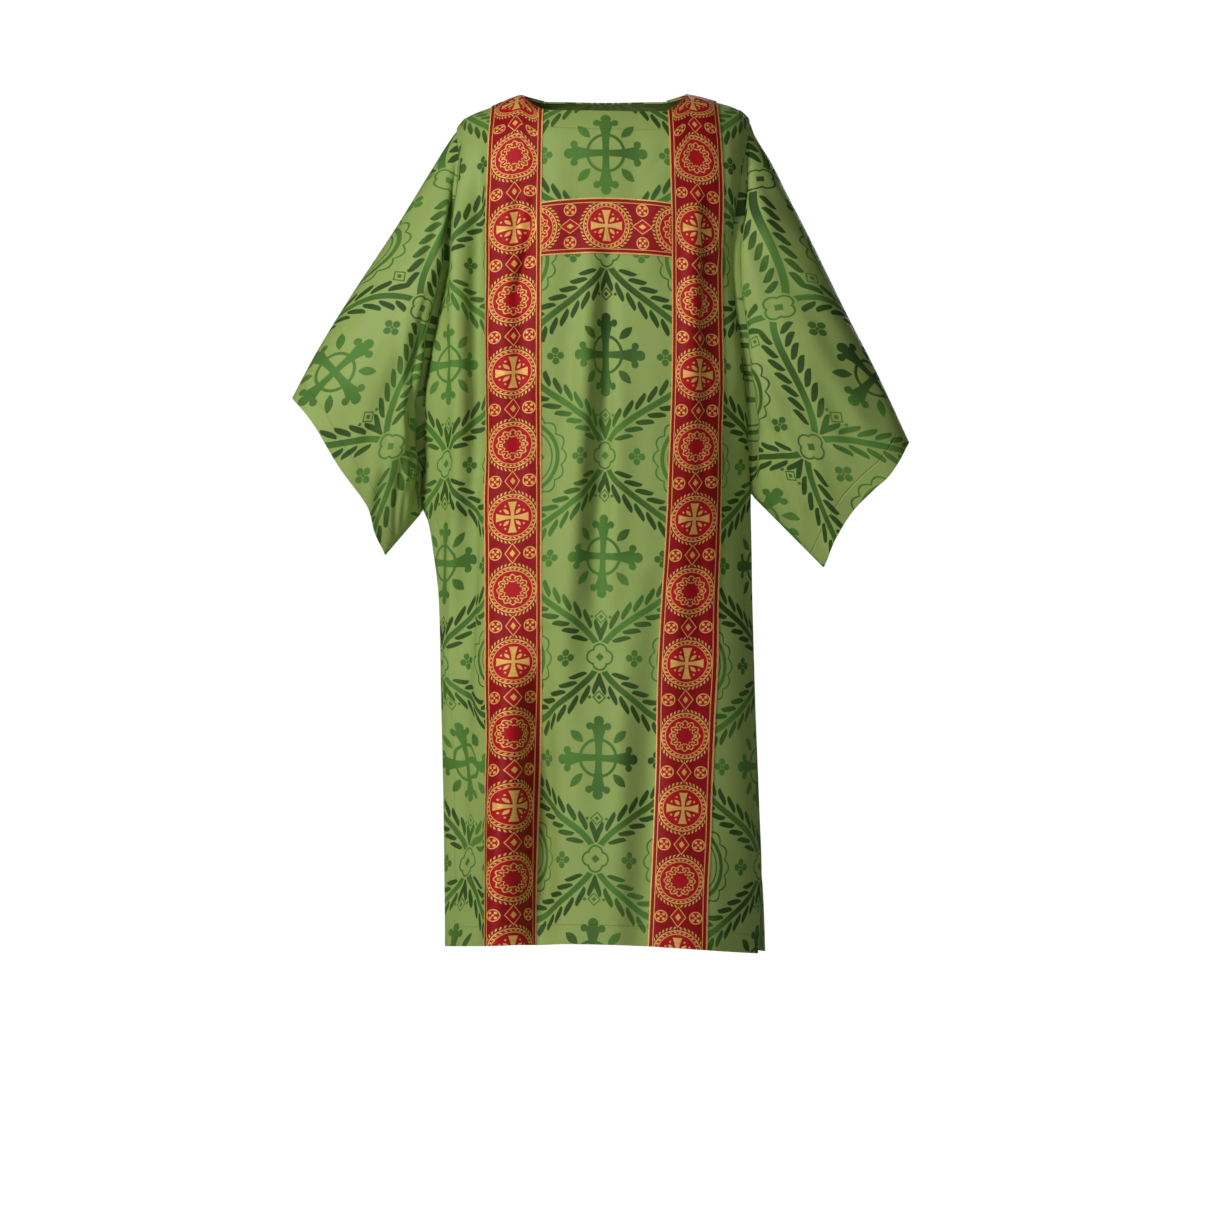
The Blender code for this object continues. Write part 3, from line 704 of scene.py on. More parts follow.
class Sleeve:
    """A sleeve as rings from the armhole to the cuff. Each runs down the front and up the back."""

    def __init__(self, which, front, back):
        self.which = which
        last = armhole_rows()
        column = 0 if which == "right" else -1
        top = front.grid[:1, column]
        under = (front.grid[last, column] + back.grid[last, column]) / 2
        under[2] -= UNDERARM_DROP
        down = front.grid[1 : last + 1, column]
        up = back.grid[last:0:-1, column]
        self.ring = np.concatenate([top, down, under[None], up])
        self.half = last + 1
        self.sides = np.where(np.arange(len(self.ring)) <= self.half, FRONT, BACK)
        self.lay_out()
        self.crease()
        self.normals = self.outward_normals()
        self.seam_normals()

    def lay_out(self):
        """Stretches the rings between the sleeve's four outlines."""
        ring, which = self.ring, self.which
        start, under = ring[0], ring[self.half]
        cuff_top, cuff_foot = outline_point(CUFF_EDGE[which], np.array([0.0, 1.0]))
        self.share = np.clip((start[2] - ring[:, 2]) / (start[2] - under[2]), 0.0, 1.0)
        share = self.share[:, None]
        seam = ring * np.array([1.0, 0.0, 1.0])
        cuff = outline_point(CUFF_EDGE[which], self.share)
        self.t = (np.arange(SLEEVE_STEPS + 1) / SLEEVE_STEPS) ** SLEEVE_GATHER
        shoulder = outline_point(SLEEVE_TOP[which], np.array([0.0]))[0]
        rows, self.upper, self.lower = [ring], [start], [under]
        for t in self.t[1:]:
            upper = start + outline_point(SLEEVE_TOP[which], np.array([t]))[0] - shoulder
            lower = mix(under, cuff_foot, t)
            row = mix(upper, lower, share) + mix(seam, cuff, t)
            row = row - mix(mix(start, cuff_top, t), mix(under, cuff_foot, t), share)
            row[:, 1] = self.sides * self.depth(t, np.abs(ring[:, 1])) - CUFF_FORWARD * t
            rows.append(row)
            self.upper.append(upper)
            self.lower.append(lower)
        self.grid = np.stack(rows)
        self.upper, self.lower = np.stack(self.upper), np.stack(self.lower)

    def depth(self, t, seam_depth):
        share = self.share
        depth = mix(seam_depth, CUFF_DEPTH * teardrop(share), t)
        bulge = (4 * share * (1 - share)) ** BULGE_FLATNESS
        depth = depth + SLEEVE_BULGE * bulge * math.sin(math.pi * t**BULGE_SKEW)
        for armhole_at, cuff_at, out, half_width, fullest in SLEEVE_FOLDS[self.which]:
            reach = bell((share - mix(armhole_at, cuff_at, t)) / half_width)
            run = bell((t - fullest) / SLEEVE_FOLD_RUN) * math.sin(math.pi / 2 * min(2 * t, 1.0))
            depth = depth + out * reach * run
        return depth

    def outward_normals(self):
        outward = self.grid - self.grid.mean(axis=1, keepdims=True)
        return grid_normals(self.grid, outward, wraps=True)

    def from_armhole(self):
        return arcs(self.grid, 0, 0)

    def from_cuff(self):
        return -arcs(self.grid, 0, -1)

    def crease(self):
        t, share = np.broadcast_arrays(self.t[:, None], self.share[None, :])
        open_side = smooth(np.minimum(share, 1 - share) / SLEEVE_HELD["top line and underside"])
        move = np.zeros_like(t)
        for *crease, side in SLEEVE_CREASES[self.which]:
            move += crease_depth([crease], t, share) * (self.sides == side)[None, :] * open_side
        arc = self.ring_arcs()[:, :-1]
        length = self.from_armhole()
        free = smooth(length / SLEEVE_HELD["seam"]) * open_side
        move += waves(arc + WAVE_LEAN * length, length) * free
        move -= SEAM_DIP * bell(length / SEAM_REACH) * (length > 0)
        from_top, from_underside = VALLEY_RAMPS
        valley = smooth(np.minimum(share / from_top, (1 - share) / from_underside))
        valley = valley * smooth(length / VALLEY_FROM_SEAM)
        dip, reach = VALLEYS[self.which]
        move -= dip * bell((length - VALLEY_FROM_SEAM) / reach) * valley
        self.grid = self.grid + self.outward_normals() * move[..., None] * (length > 0)[..., None]

    def ring_arcs(self):
        """Length from the sleeve's top, down the front, and on from the top up the back as negative."""
        down, back = (arcs(closed(self.grid), 1, start) for start in (0, -1))
        return np.concatenate([down[:, : self.half + 1], back[:, self.half + 1 :]], axis=1)

    def seam_normals(self):
        count, half = len(self.ring), self.half
        run = np.roll(self.ring, -1, axis=0) - np.roll(self.ring, 1, axis=0)
        seam = unit(np.stack([np.zeros(count), -run[:, 2], run[:, 1]], axis=-1))
        flips = seam[:, 1] * self.sides < 0
        seam[flips] *= -1
        seam[0] = (0.0, 0.0, 1.0)
        seam[half] = (0.0, 0.0, -1.0)
        for k, side in ((half - 1, FRONT), (half + 1, BACK)):
            seam[k] = unit(np.array([0.0, side, -1.0]))
        self.normals[0] = seam

    def cloth_places(self):
        """Each point's place on the flat cloth, for one more column than the rings have."""
        away = unit(self.lower - self.upper)
        # The back half unrolls over the top line, so its weave runs on from the front's.
        top = unit(self.upper[-1] - self.upper[0])
        over = 2.0 * (away @ top)[:, None] * top - away
        arc = np.abs(self.ring_arcs())
        front, back = (self.upper[:, None] + way[:, None] * arc[..., None] for way in (away, over))
        # The rings open at the underside, where the seam lies.
        back_length = -arcs(closed(self.grid), 1, -1)[:, self.half]
        opening = self.upper + over * back_length[:, None]
        parts = [opening[:, None], back[:, self.half + 1 : -1], front[:, : self.half + 1]]
        rolled = np.concatenate(parts, axis=1)
        x, z = rolled[..., 0], rolled[..., 2]
        turn = -SLEEVE_GRAIN if self.which == "right" else SLEEVE_GRAIN
        cos, sin = math.cos(turn), math.sin(turn)
        return np.stack([x * cos - z * sin, x * sin + z * cos], axis=-1)

    def rolled(self, values):
        """The same values with each ring starting at the underside, where its seam lies."""
        return np.roll(values, -self.half, axis=1)


def add_object(name, data):
    piece = bpy.data.objects.new(name, data)
    bpy.context.scene.collection.objects.link(piece)
    return piece


def add_mesh(name, points, faces, looks):
    mesh = bpy.data.meshes.new(name)
    mesh.from_pydata(points, [], faces)
    for look in looks:
        mesh.materials.append(look)
    return add_object(name, mesh)


def shell(name, outer, normals, wall, places, facts, looks, wraps=False):
    """A closed wall: the outer grid, the same grid set in by its thickness, and its rims."""
    rows, count = outer.shape[:2]
    inner = outer - normals * np.broadcast_to(wall, (rows, count))[..., None]
    points = np.concatenate([outer.reshape(-1, 3), inner.reshape(-1, 3)])
    index = np.arange(rows * count).reshape(rows, count)
    if wraps:
        index = closed(index)
    place_index = np.arange(index.size).reshape(index.shape)

    def quads(numbers, layer):
        step = layer(1) - layer(0)
        a, b = numbers[:-1, :-1].ravel(), numbers[1:, :-1].ravel()
        c, d = numbers[1:, 1:].ravel(), numbers[:-1, 1:].ravel()
        parts = [np.stack([a, b, c, d], 1), np.stack([a, d, c, b], 1) + step]
        rims = [(numbers[0, :-1], numbers[0, 1:]), (numbers[-1, 1:], numbers[-1, :-1])]
        if not wraps:
            rims += [(numbers[1:, 0], numbers[:-1, 0]), (numbers[:-1, -1], numbers[1:, -1])]
        for start, end in rims:
            parts.append(np.stack([start, end, end + step, start + step], 1))
        return np.concatenate(parts), len(parts[0])

    faces, side_count = quads(index, lambda layer: layer * rows * count)
    corners, _ = quads(place_index, lambda layer: 0)
    first = points[faces[0]]
    if np.dot(np.cross(first[1] - first[0], first[2] - first[0]), normals[0, 0]) < 0:
        faces, corners = faces[:, ::-1], corners[:, ::-1]
    piece = add_mesh(name, points, faces, looks)
    mesh = piece.data
    mesh.uv_layers.new(name="cloth").uv.foreach_set("vector", places.reshape(-1, 2)[corners].ravel())
    for fact, values in facts.items():
        layer = mesh.attributes.new(fact, "FLOAT", "POINT")
        layer.data.foreach_set("value", np.tile(values.ravel(), 2))
    slots = np.zeros(len(faces), np.int32)
    slots[side_count : 2 * side_count] = 1
    mesh.polygons.foreach_set("material_index", slots)
    mesh.shade_smooth()
    mesh.set_sharp_from_angle(angle=SHARP_ANGLE)
    return piece



def stitches(name, lines, look, size):
    """One mesh of small raised stitches along each line, given as points and normals."""
    points, faces, made_before = [], [], 0
    around = ((1, 0), (0, 1), (-1, 0), (0, -1))
    corners = 2 + 2 * len(around)
    half, radius = size["length"] / 2, size["radius"]
    for line, facing in lines:
        steps = np.linalg.norm(np.diff(line, axis=0), axis=1)
        arc = np.concatenate([[0.0], np.cumsum(steps)])
        places = np.arange(size["pitch"], arc[-1] - size["pitch"], size["pitch"])

        def read(values, at):
            return np.stack([np.interp(at, arc, values[:, i]) for i in range(3)], 1)

        centre = read(line, places)
        up = unit(read(facing, places))
        run = unit(read(line, places + 0.001) - centre)
        beside = unit(np.cross(up, run))
        made = [centre - run * half - up * radius]
        for end in (-STITCH_FULL, STITCH_FULL):
            ring_centre = centre + run * half * end
            for across_it, above in around:
                made.append(ring_centre + beside * radius * across_it + up * radius * above)
        made.append(centre + run * half - up * radius)
        points.append(np.stack(made, 1).reshape(-1, 3))
        start = made_before + corners * np.arange(len(places))
        made_before += corners * len(places)
        for k in range(4):
            after = (k + 1) % 4
            near, near_after = start + 1 + k, start + 1 + after
            far, far_after = near + len(around), near_after + len(around)
            last = start + corners - 1
            for face in (start, near_after, near), (near, near_after, far_after, far), (last, far, far_after):
                faces += np.stack(face, 1).tolist()
    piece = add_mesh(name, np.concatenate(points), faces, [look])
    piece.data.shade_smooth()
    return piece


def line_at(grid, normals, distances, distance):
    """The points of a grid, and their normals, where distances down its columns reach a value."""
    line, facing = [], []
    for c in range(grid.shape[1]):
        reach = distances[:, c]
        order = np.argsort(reach)
        line.append([np.interp(distance, reach[order], grid[order, c, i]) for i in range(3)])
        facing.append([np.interp(distance, reach[order], normals[order, c, i]) for i in range(3)])
    return np.array(line), np.array(facing)


class Signal:
    """A number that a material works out at each place, used with Python's own operators."""

    def __init__(self, tree, socket):
        self.tree = tree
        self.socket = socket

    def math(self, operation, *others, clamp=False):
        node = self.tree.nodes.new("ShaderNodeMath")
        node.operation = operation
        node.use_clamp = clamp
        for entry, value in zip(node.inputs, (self, *others)):
            if isinstance(value, Signal):
                self.tree.links.new(value.socket, entry)
            else:
                entry.default_value = value
        return Signal(self.tree, node.outputs["Value"])

    def __add__(self, other):
        return self.math("ADD", other)

    def __sub__(self, other):
        return self.math("SUBTRACT", other)

    def __rsub__(self, other):
        return self.math("MULTIPLY_ADD", -1.0, other)

    def __mul__(self, other):
        return self.math("MULTIPLY", other)

    def __truediv__(self, other):
        return self.math("DIVIDE", other)

    def __abs__(self):
        return self.math("ABSOLUTE")

    __radd__ = __add__
    __rmul__ = __mul__

    def each(self, operation, others):
        """The same operation with one value after another."""
        result = self
        for other in others:
            result = result.math(operation, other)
        return result

    def least(self, *others):
        return self.each("MINIMUM", others)

    def most(self, *others):
        return self.each("MAXIMUM", others)

    def limited(self):
        return self.math("ADD", 0.0, clamp=True)

    def sine(self):
        return self.math("SINE")

    def cosine(self):
        return self.math("COSINE")

    def inside(self, blur=BLUR):
        """1 where this distance is below 0, fading to 0 over the blur."""
        return self.math("MULTIPLY_ADD", -1.0 / blur, 0.5, clamp=True)


def length(x, y):
    return (x * x + y * y).math("SQRT")


def circle(x, y, centre_x, centre_y, radius):
    return length(x - centre_x, y - centre_y) - radius


def ring(distance, radius, half_width):
    return abs(distance - radius) - half_width


def petal(along_it, across_it, start, long, half_width):
    """A pointed leaf: how far a place lies outside it."""
    t = ((along_it - start) * (1 / long)).limited()
    return abs(across_it) - t * (1.0 - t) * (4 * half_width) + 0.6 * BLUR


def linear(colour):
    """A colour given as 0 to 255 on a screen, as light."""
    shares = [value / 255 for value in colour]
    return tuple(s / 12.92 if s <= 0.04045 else ((s + 0.055) / 1.055) ** 2.4 for s in shares) + (1.0,)


class Look:
    """A material with its node tree, and short names for the nodes that it needs most."""

    def __init__(self, name):
        self.material = bpy.data.materials.new(name)
        self.material.use_nodes = True
        self.tree = self.material.node_tree
        self.shader = self.tree.nodes["Principled BSDF"]
        self.place = self.tree.nodes.new("ShaderNodeUVMap")
        self.place.uv_map = "cloth"

    def coordinates(self):
        split = self.tree.nodes.new("ShaderNodeSeparateXYZ")
        self.tree.links.new(self.place.outputs["UV"], split.inputs[0])
        return Signal(self.tree, split.outputs["X"]), Signal(self.tree, split.outputs["Y"])

    def noise(self, scale, detail, stretch=(1.0, 1.0, 1.0)):
        mapping = self.tree.nodes.new("ShaderNodeMapping")
        mapping.inputs["Scale"].default_value = stretch
        self.tree.links.new(self.place.outputs["UV"], mapping.inputs["Vector"])
        node = self.tree.nodes.new("ShaderNodeTexNoise")
        node.inputs["Scale"].default_value = scale
        node.inputs["Detail"].default_value = detail
        self.tree.links.new(mapping.outputs["Vector"], node.inputs["Vector"])
        return Signal(self.tree, node.outputs["Fac"])

    def attribute(self, name):
        node = self.tree.nodes.new("ShaderNodeAttribute")
        node.attribute_name = name
        return Signal(self.tree, node.outputs["Fac"])

    def blend(self, share, first, second):
        """Mixes two colours, each a plain colour or the result of another blend."""
        node = self.tree.nodes.new("ShaderNodeMix")
        node.data_type = "RGBA"
        share_entry, first_entry, second_entry = node.inputs[0], node.inputs[6], node.inputs[7]
        self.tree.links.new(share.socket, share_entry)
        for entry, colour in ((first_entry, first), (second_entry, second)):
            if isinstance(colour, Signal):
                self.tree.links.new(colour.socket, entry)
            else:
                entry.default_value = linear(colour)
        return Signal(self.tree, node.outputs[2])

    def drive(self, entry, signal):
        self.tree.links.new(signal.socket, self.shader.inputs[entry])

    def fix(self, entry, value):
        self.shader.inputs[entry].default_value = value

    def raise_by(self, height):
        """Bumps the surface by a height in metres."""
        node = self.tree.nodes.new("ShaderNodeBump")
        node.inputs["Strength"].default_value = 1.0
        node.inputs["Distance"].default_value = 1.0
        self.tree.links.new(height.socket, node.inputs["Height"])
        self.drive("Normal", Signal(self.tree, node.outputs["Normal"]))


def threads(u, v, pitch, height):
    """The small bumps of a plain weave."""
    turn = 2 * math.pi / pitch
    return (u * turn).sine() * (v * turn).sine() * height


def leafy_lattice(x, y):
    """The brocade's stems and leaves, as distances outside them, and places from each field's centre."""
    half_width, half_height = REPEAT_WIDTH / 2, REPEAT_HEIGHT / 2
    slope_most = math.pi * half_width / (2 * half_height)
    mean_run = 1.405  # metres of stem to each metre of height, about
    fx = x.math("PINGPONG", half_width)
    fy = y.math("PINGPONG", half_height)
    turn = fy * (math.pi / half_height)
    slope = turn.sine() * slope_most
    gap = fx - (1.0 - turn.cosine()) * (half_width / 2)
    # The nearest place on the stem lies a little above or below, so it is found first.
    foot = fy + gap * slope / (slope * slope + 1.0)
    turn = foot * (math.pi / half_height)
    slope = turn.sine() * slope_most
    across_it = fx - (1.0 - turn.cosine()) * (half_width / 2) - (fy - foot) * slope
    off = across_it / (slope * slope + 1.0).math("SQRT")
    run = foot * mean_run - (turn * 2.0).sine() * ((mean_run - 1) * REPEAT_HEIGHT / (4 * math.pi))
    far_side = gap.math("GREATER_THAN", 0.0)
    out = abs(off) - LEAF_START
    reach = (out * (1 / (LEAF_LENGTH * math.sin(LEAF_TILT)))).limited()
    slant = run - out * (1 / math.tan(LEAF_TILT)) + far_side * (LEAF_PITCH / 2)
    from_leaf = slant.math("WRAP", LEAF_PITCH / 2, -LEAF_PITCH / 2)
    sideways = abs(from_leaf) * math.sin(LEAF_TILT)
    leaf = sideways - reach * (1.0 - reach) * (4 * LEAF_HALF_WIDTH) + 0.6 * BLUR
    # A leaf grows from its own place on the stem, and those too near a crossing are left out whole.
    root = slant - from_leaf - far_side * (LEAF_PITCH / 2)
    leaf = leaf.most(FIRST_LEAF - root, root - LAST_LEAF)
    near_first = length(fx, fy)
    near_second = length(half_width - fx, half_height - fy)
    crossing = near_first.least(near_second)
    stem = (abs(off) - STEM).most(STEM_STOP - crossing)
    cell_x = fx + far_side * (half_width - fx * 2.0)
    cell_y = (half_height - fy) + far_side * (fy * 2.0 - half_height)
    second = near_second.math("LESS_THAN", near_first)
    node_x = fx + second * (half_width - fx * 2.0)
    node_y = fy + second * (half_height - fy * 2.0)
    return leaf, stem, (node_x, node_y), (cell_x, cell_y), far_side


def crossing_figure(x, y):
    """A small quatrefoil frame round a lozenge."""
    a, b = x.most(y), x.least(y)
    frame_line = abs(circle(a, b, 0.0085, 0.0, 0.0095)) - 0.0013
    return frame_line.least(a + b - 0.0060)


def cross_figure(x, y):
    """A cross with spreading arms, lobed tips, a ring and leaves between the arms."""
    arm = 0.047
    a, b = x.most(y), x.least(y)
    spread = a * (1 / arm)
    body = (b - spread * spread * spread * 0.0085 - 0.0046).most(a - arm)
    tips = circle(a, b, arm + 0.004, 0.0, 0.0072).least(circle(a, b, arm - 0.003, 0.0125, 0.0052))
    halo = ring(length(a, b), 0.0255, 0.0021)
    diagonal, beside = (a + b) * math.sqrt(0.5), (a - b) * math.sqrt(0.5)
    leaf = petal(diagonal, beside, 0.030, 0.026, 0.0062)
    return body.least(tips, halo, leaf)


def wheel_figure(x, y):
    """A rosette of eight petals in a scalloped ring."""
    angle = y.math("ARCTAN2", x)
    radius = length(x, y)
    petals = abs((angle * 4.0).cosine())
    rosette = (radius - petals * 0.019 - 0.0125).most(0.0075 - radius).least(radius - 0.0040)
    rings = ring(radius, 0.0425, 0.0011).least(ring(radius, 0.0505, 0.0028))
    scallop = abs(radius - abs((angle * 8.0).cosine()) * 0.0062 - 0.0570) - 0.0013
    return rosette.least(rings, scallop)


def small_figures(x, y):
    """A flower beside each large figure, and a lozenge above and below it."""
    a, b = abs(x - 0.086), y
    far, near = a.most(b), a.least(b)
    flower = circle(far, near, 0.0072, 0.0, 0.0048).least(length(a, b) - 0.0022)
    up = abs(y - 0.084)
    lozenge = abs(x + up - 0.0085) - 0.0012
    dot = (x + up - 0.0035).least(circle(x, up, 0.0135, 0.0, 0.0022))
    return flower.least(lozenge, dot)


def brocade():
    look = Look("brocade")
    u, v = look.coordinates()
    leaf, stem, at_crossing, in_cell, far_side = leafy_lattice(u, v)
    cross = cross_figure(*in_cell) + far_side
    wheel = wheel_figure(*in_cell) + (1.0 - far_side)
    figure = cross.least(wheel, crossing_figure(*at_crossing), stem, small_figures(*in_cell)).inside()
    leaf = leaf.inside()
    shade = ((look.noise(5.5, 1.0) - 0.5) * 4.0 + leaf * 0.60 + 0.25).limited()
    fine = look.noise(900.0, 2.0)
    cloudy = look.noise(9.0, 3.0) * 0.6 + look.noise(240.0, 1.0) * 0.5
    woven = figure.most(leaf)
    ground = look.blend(cloudy, GROUND, GROUND_LIGHT)
    look.drive("Base Color", look.blend(woven, ground, look.blend(shade, FIGURE, FIGURE_DARK)))
    look.drive("Roughness", woven * 0.10 + fine * 0.10 + 0.50)
    look.fix("Sheen Weight", 0.06)
    look.fix("Sheen Roughness", 0.45)
    look.fix("Sheen Tint", linear(GROUND_LIGHT))
    look.fix("Specular IOR Level", LOW_GLOSS)
    hem = look.attribute("to_hem") - HEM_DEPTH
    facing = look.attribute("to_neck") - FACING_DEPTH
    sewn = (hem * hem).least(facing * facing)
    dent = (1.0 - sewn * (1 / SEWN_REACH**2)).limited()
    weave = threads(u, v, 0.0011, 0.00003)
    look.raise_by(woven * FIGURE_RISE + weave + fine * FUZZ - dent * SEWN_DENT)
    return look.material


def reverse():
    """The wrong side of the brocade, with its figures only faintly seen."""
    look = Look("brocade_reverse")
    u, v = look.coordinates()
    leaf, stem, _, in_cell, far_side = leafy_lattice(u, v)
    figure = leaf.least(stem, cross_figure(*in_cell) + far_side).inside(0.0015)
    fine = look.noise(700.0, 2.0)
    plain = look.blend(fine, REVERSE, GREEN_THREAD)
    look.drive("Base Color", look.blend(figure * 0.45, plain, GROUND))
    look.drive("Roughness", fine * 0.12 + 0.72)
    look.raise_by(threads(u, v, 0.0013, 0.00005) + fine * 0.00006)
    return look.material


def band_ornament(s, y):
    """What is gold on a band, and what is darker red: roped roundels, lozenges and flowers between."""
    aside = abs(s)
    near = y.math("PINGPONG", BAND_PITCH / 2)
    pair = y.math("PINGPONG", BAND_PITCH)
    from_gap = BAND_PITCH / 2 - near
    radius = length(aside, near)
    angle = near.math("ARCTAN2", aside)
    frames = ring(radius, 0.0314, 0.00080).least(ring(radius, 0.0264, 0.00055))
    rope = ((angle * 30.0 + radius * 700.0).sine() * -0.0014 + 0.0002).most(ring(radius, 0.0289, 0.0012))
    figure = band_cross(aside, pair).least(band_wreath(aside, BAND_PITCH - pair))
    lozenge = aside * 1.15 + from_gap * 0.85
    between = (abs(lozenge - 0.0116) - 0.00080).least(lozenge - 0.0044)
    across_it = abs(aside - 0.0230)
    from_flower = length(across_it, from_gap)
    petals = circle(across_it, from_gap, 0.0034, 0.0034, 0.0019)
    flower = petals.least(from_flower - 0.0016, ring(from_flower, 0.0080, 0.00070))
    swag = (angle * 40.0 - radius * 900.0).sine() * -0.0014 + 0.0002
    swag = swag.most(ring(radius, 0.0352, 0.0016), aside - 0.0308, 0.0094 - from_flower, 0.0130 - lozenge)
    edges = (0.0372 - aside).least(ring(aside, 0.0324, 0.00055))
    gold = figure.least(frames, rope, between, flower, swag, edges)
    dark = (0.0318 - radius).most(0.0080 - from_flower, 0.0116 - lozenge)
    return gold, dark.least(0.0328 - aside)


def band_cross(x, y):
    """A cross with spreading arms and leaves between them."""
    arm = 0.0215
    a, b = x.most(y), x.least(y)
    spread = a * (1 / arm)
    body = (b - spread * spread * 0.0042 - 0.0020).most(a - arm)
    diagonal, beside = (a + b) * math.sqrt(0.5), (a - b) * math.sqrt(0.5)
    leaf = petal(diagonal, beside, 0.0060, 0.0110, 0.0026)
    berry = length(diagonal - 0.0175, abs(beside) - 0.0045) - 0.0013
    return body.least(leaf, berry)


def band_wreath(x, y):
    """A lacy wreath round a plain middle."""
    turn = y.math("ARCTAN2", x)
    radius = length(x, y)
    outer = abs(radius - (turn * 12.0).cosine() * 0.0014 - 0.0196) - 0.00085
    inner = abs(radius - (turn * 12.0).sine() * 0.0013 - 0.0124) - 0.00075
    leaves = ((turn * 24.0).sine() * -0.0014 + 0.0001).most(ring(radius, 0.0160, 0.0014))
    return outer.least(inner, leaves)


def galloon():
    """The red and gold weave of the bands."""
    look = Look("woven_band")
    u, v = look.coordinates()
    gold, border = (drawn.inside(BAND_BLUR) for drawn in band_ornament(u, v - BAND_PHASE))
    fine = look.noise(1100.0, 2.0)
    slubs = look.noise(120.0, 2.0, stretch=(0.25, 4.0, 1.0))
    red = look.blend(slubs * 0.25, look.blend(border, RED, RED_DARK), RED_DARK)
    bright = look.blend((slubs * 1.5 - 0.35).limited(), GOLD, GOLD_DARK)
    look.drive("Base Color", look.blend(gold, red, bright))
    look.drive("Metallic", gold * 0.10)
    look.drive("Roughness", gold * -0.14 + fine * 0.12 + 0.50)
    look.fix("Specular IOR Level", LOW_GLOSS)
    ribs = (v * (2 * math.pi / RIB_PITCH)).sine() * RIB_RISE
    look.raise_by(gold * GOLD_RISE + ribs + fine * FUZZ)
    return look.material


def thread(name, colour):
    look = Look(name)
    tone = look.noise(300.0, 1.0)
    darker = tuple(int(value * 0.8) for value in colour)
    look.drive("Base Color", look.blend(tone, colour, darker))
    look.drive("Roughness", tone * 0.1 + 0.45)
    return look.material


def worn(piece, node):
    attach(piece, "root")
    if node:
        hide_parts(node)
    return piece


def cloth_area(outer):
    """Area of a grid of points."""
    a = outer[1:, 1:] - outer[:-1, :-1]
    b = outer[1:, :-1] - outer[:-1, 1:]
    return float(np.linalg.norm(np.cross(a, b), axis=-1).sum() / 2)


def make_panel(name, panel, looks):
    facts = {"to_hem": panel.hem_distance(), "to_neck": panel.neck_distance()}
    places = np.stack([panel.u, panel.v], axis=-1)
    piece = shell(name + "_cloth", panel.grid, panel.normals, panel.wall(), places, facts, looks)
    worn(piece, name)
    hem = line_at(panel.grid, panel.normals, panel.from_hem, HEM_DEPTH)
    columns = np.flatnonzero(panel.neck_columns)
    neck = slice(columns[0], columns[-1] + 1)
    neck = line_at(panel.grid[:, neck], panel.normals[:, neck], panel.from_top[:, neck], FACING_DEPTH)
    sewn = worn(stitches(name + "_stitches", [hem, neck], green_thread, HEM_STITCH), None)
    width = float(np.ptp(panel.u, axis=1).max())
    high = float(np.ptp(panel.v, axis=0).max())
    area = cloth_area(panel.grid)
    return width, high, area


def make_sleeve(which, front, back, looks):
    sleeve = Sleeve(which, front, back)
    from_cuff = sleeve.rolled(sleeve.from_cuff())
    facts = {"to_hem": from_cuff, "to_neck": np.full(from_cuff.shape, FAR_OFF)}
    grid, normals = sleeve.rolled(sleeve.grid), sleeve.rolled(sleeve.normals)
    wall = mix(WALL, HEM_WALL, doubled(from_cuff, HEM_DEPTH))
    name = "sleeve_" + which
    piece = shell(name + "_cloth", grid, normals, wall, sleeve.cloth_places(), facts, looks, wraps=True)
    worn(piece, name)
    around = float(arcs(closed(grid), 1, 0)[:, -1].max())
    long = float(sleeve.from_armhole()[-1].max())
    area = min(cloth_area(closed(grid)), around * long)
    return around, long, area


def band_strip(panel, rows, columns, axis):
    """A strip of a panel's own points, moved out and slightly crowned across this axis."""
    grid, normals = panel.grid[rows, columns], panel.normals[rows, columns]
    share = np.linspace(-1, 1, grid.shape[axis])
    lift = BAND_LIFT + BAND_CROWN * (1 - np.abs(share) ** 4)
    return grid + normals * np.expand_dims(lift, (1 - axis, 2)), normals


def make_band(name, panel, rows, columns, axis, looks):
    """A band whose width lies along this axis of the panel's grid, and its two rows of stitches."""
    outer, normals = band_strip(panel, rows, columns, axis)
    middle = np.take(outer, [outer.shape[axis] // 2], axis=axis)
    edge = np.linspace(-BAND_WIDTH / 2, BAND_WIDTH / 2, outer.shape[axis])
    if axis == 1:
        u, v = edge[None, :], -arcs(middle, 0, panel.zero_row)
    else:
        u, v = -edge[:, None], arcs(middle, 1, outer.shape[1] // 2) + BAND_PHASE
    places = np.stack(np.broadcast_arrays(u, v), axis=-1)
    piece = shell(name + "_cloth", outer, normals, BAND_WALL, places, {}, looks)
    worn(piece, name)
    lines = []
    for at, beside in ((0, 1), (-1, -2)):
        border, inner, facing = outer.take(at, axis), outer.take(beside, axis), normals.take(at, axis)
        lines.append((mix(border, inner, STITCH_INSET), facing))
    sewn = worn(stitches(name + "_stitches", lines, gold_thread, STITCH), None)
    long = float(np.ptp(v))
    flat = (BAND_WIDTH, long) if axis == 1 else (long, BAND_WIDTH)
    return *flat, cloth_area(outer)


def make_upright_band(name, panel, which, looks):
    first, last = band_columns(which)
    return make_band(name, panel, slice(None), slice(first, last + 1), 1, looks)


def make_crossband(panel, looks):
    rows = slice(ROW_STEPS["shoulder"], ROW_STEPS["shoulder"] + ROW_STEPS["crossband"] + 1)
    columns = slice(band_columns("right")[1], band_columns("left")[0] + 1)
    return make_band("front_crossband", panel, rows, columns, 0, looks)


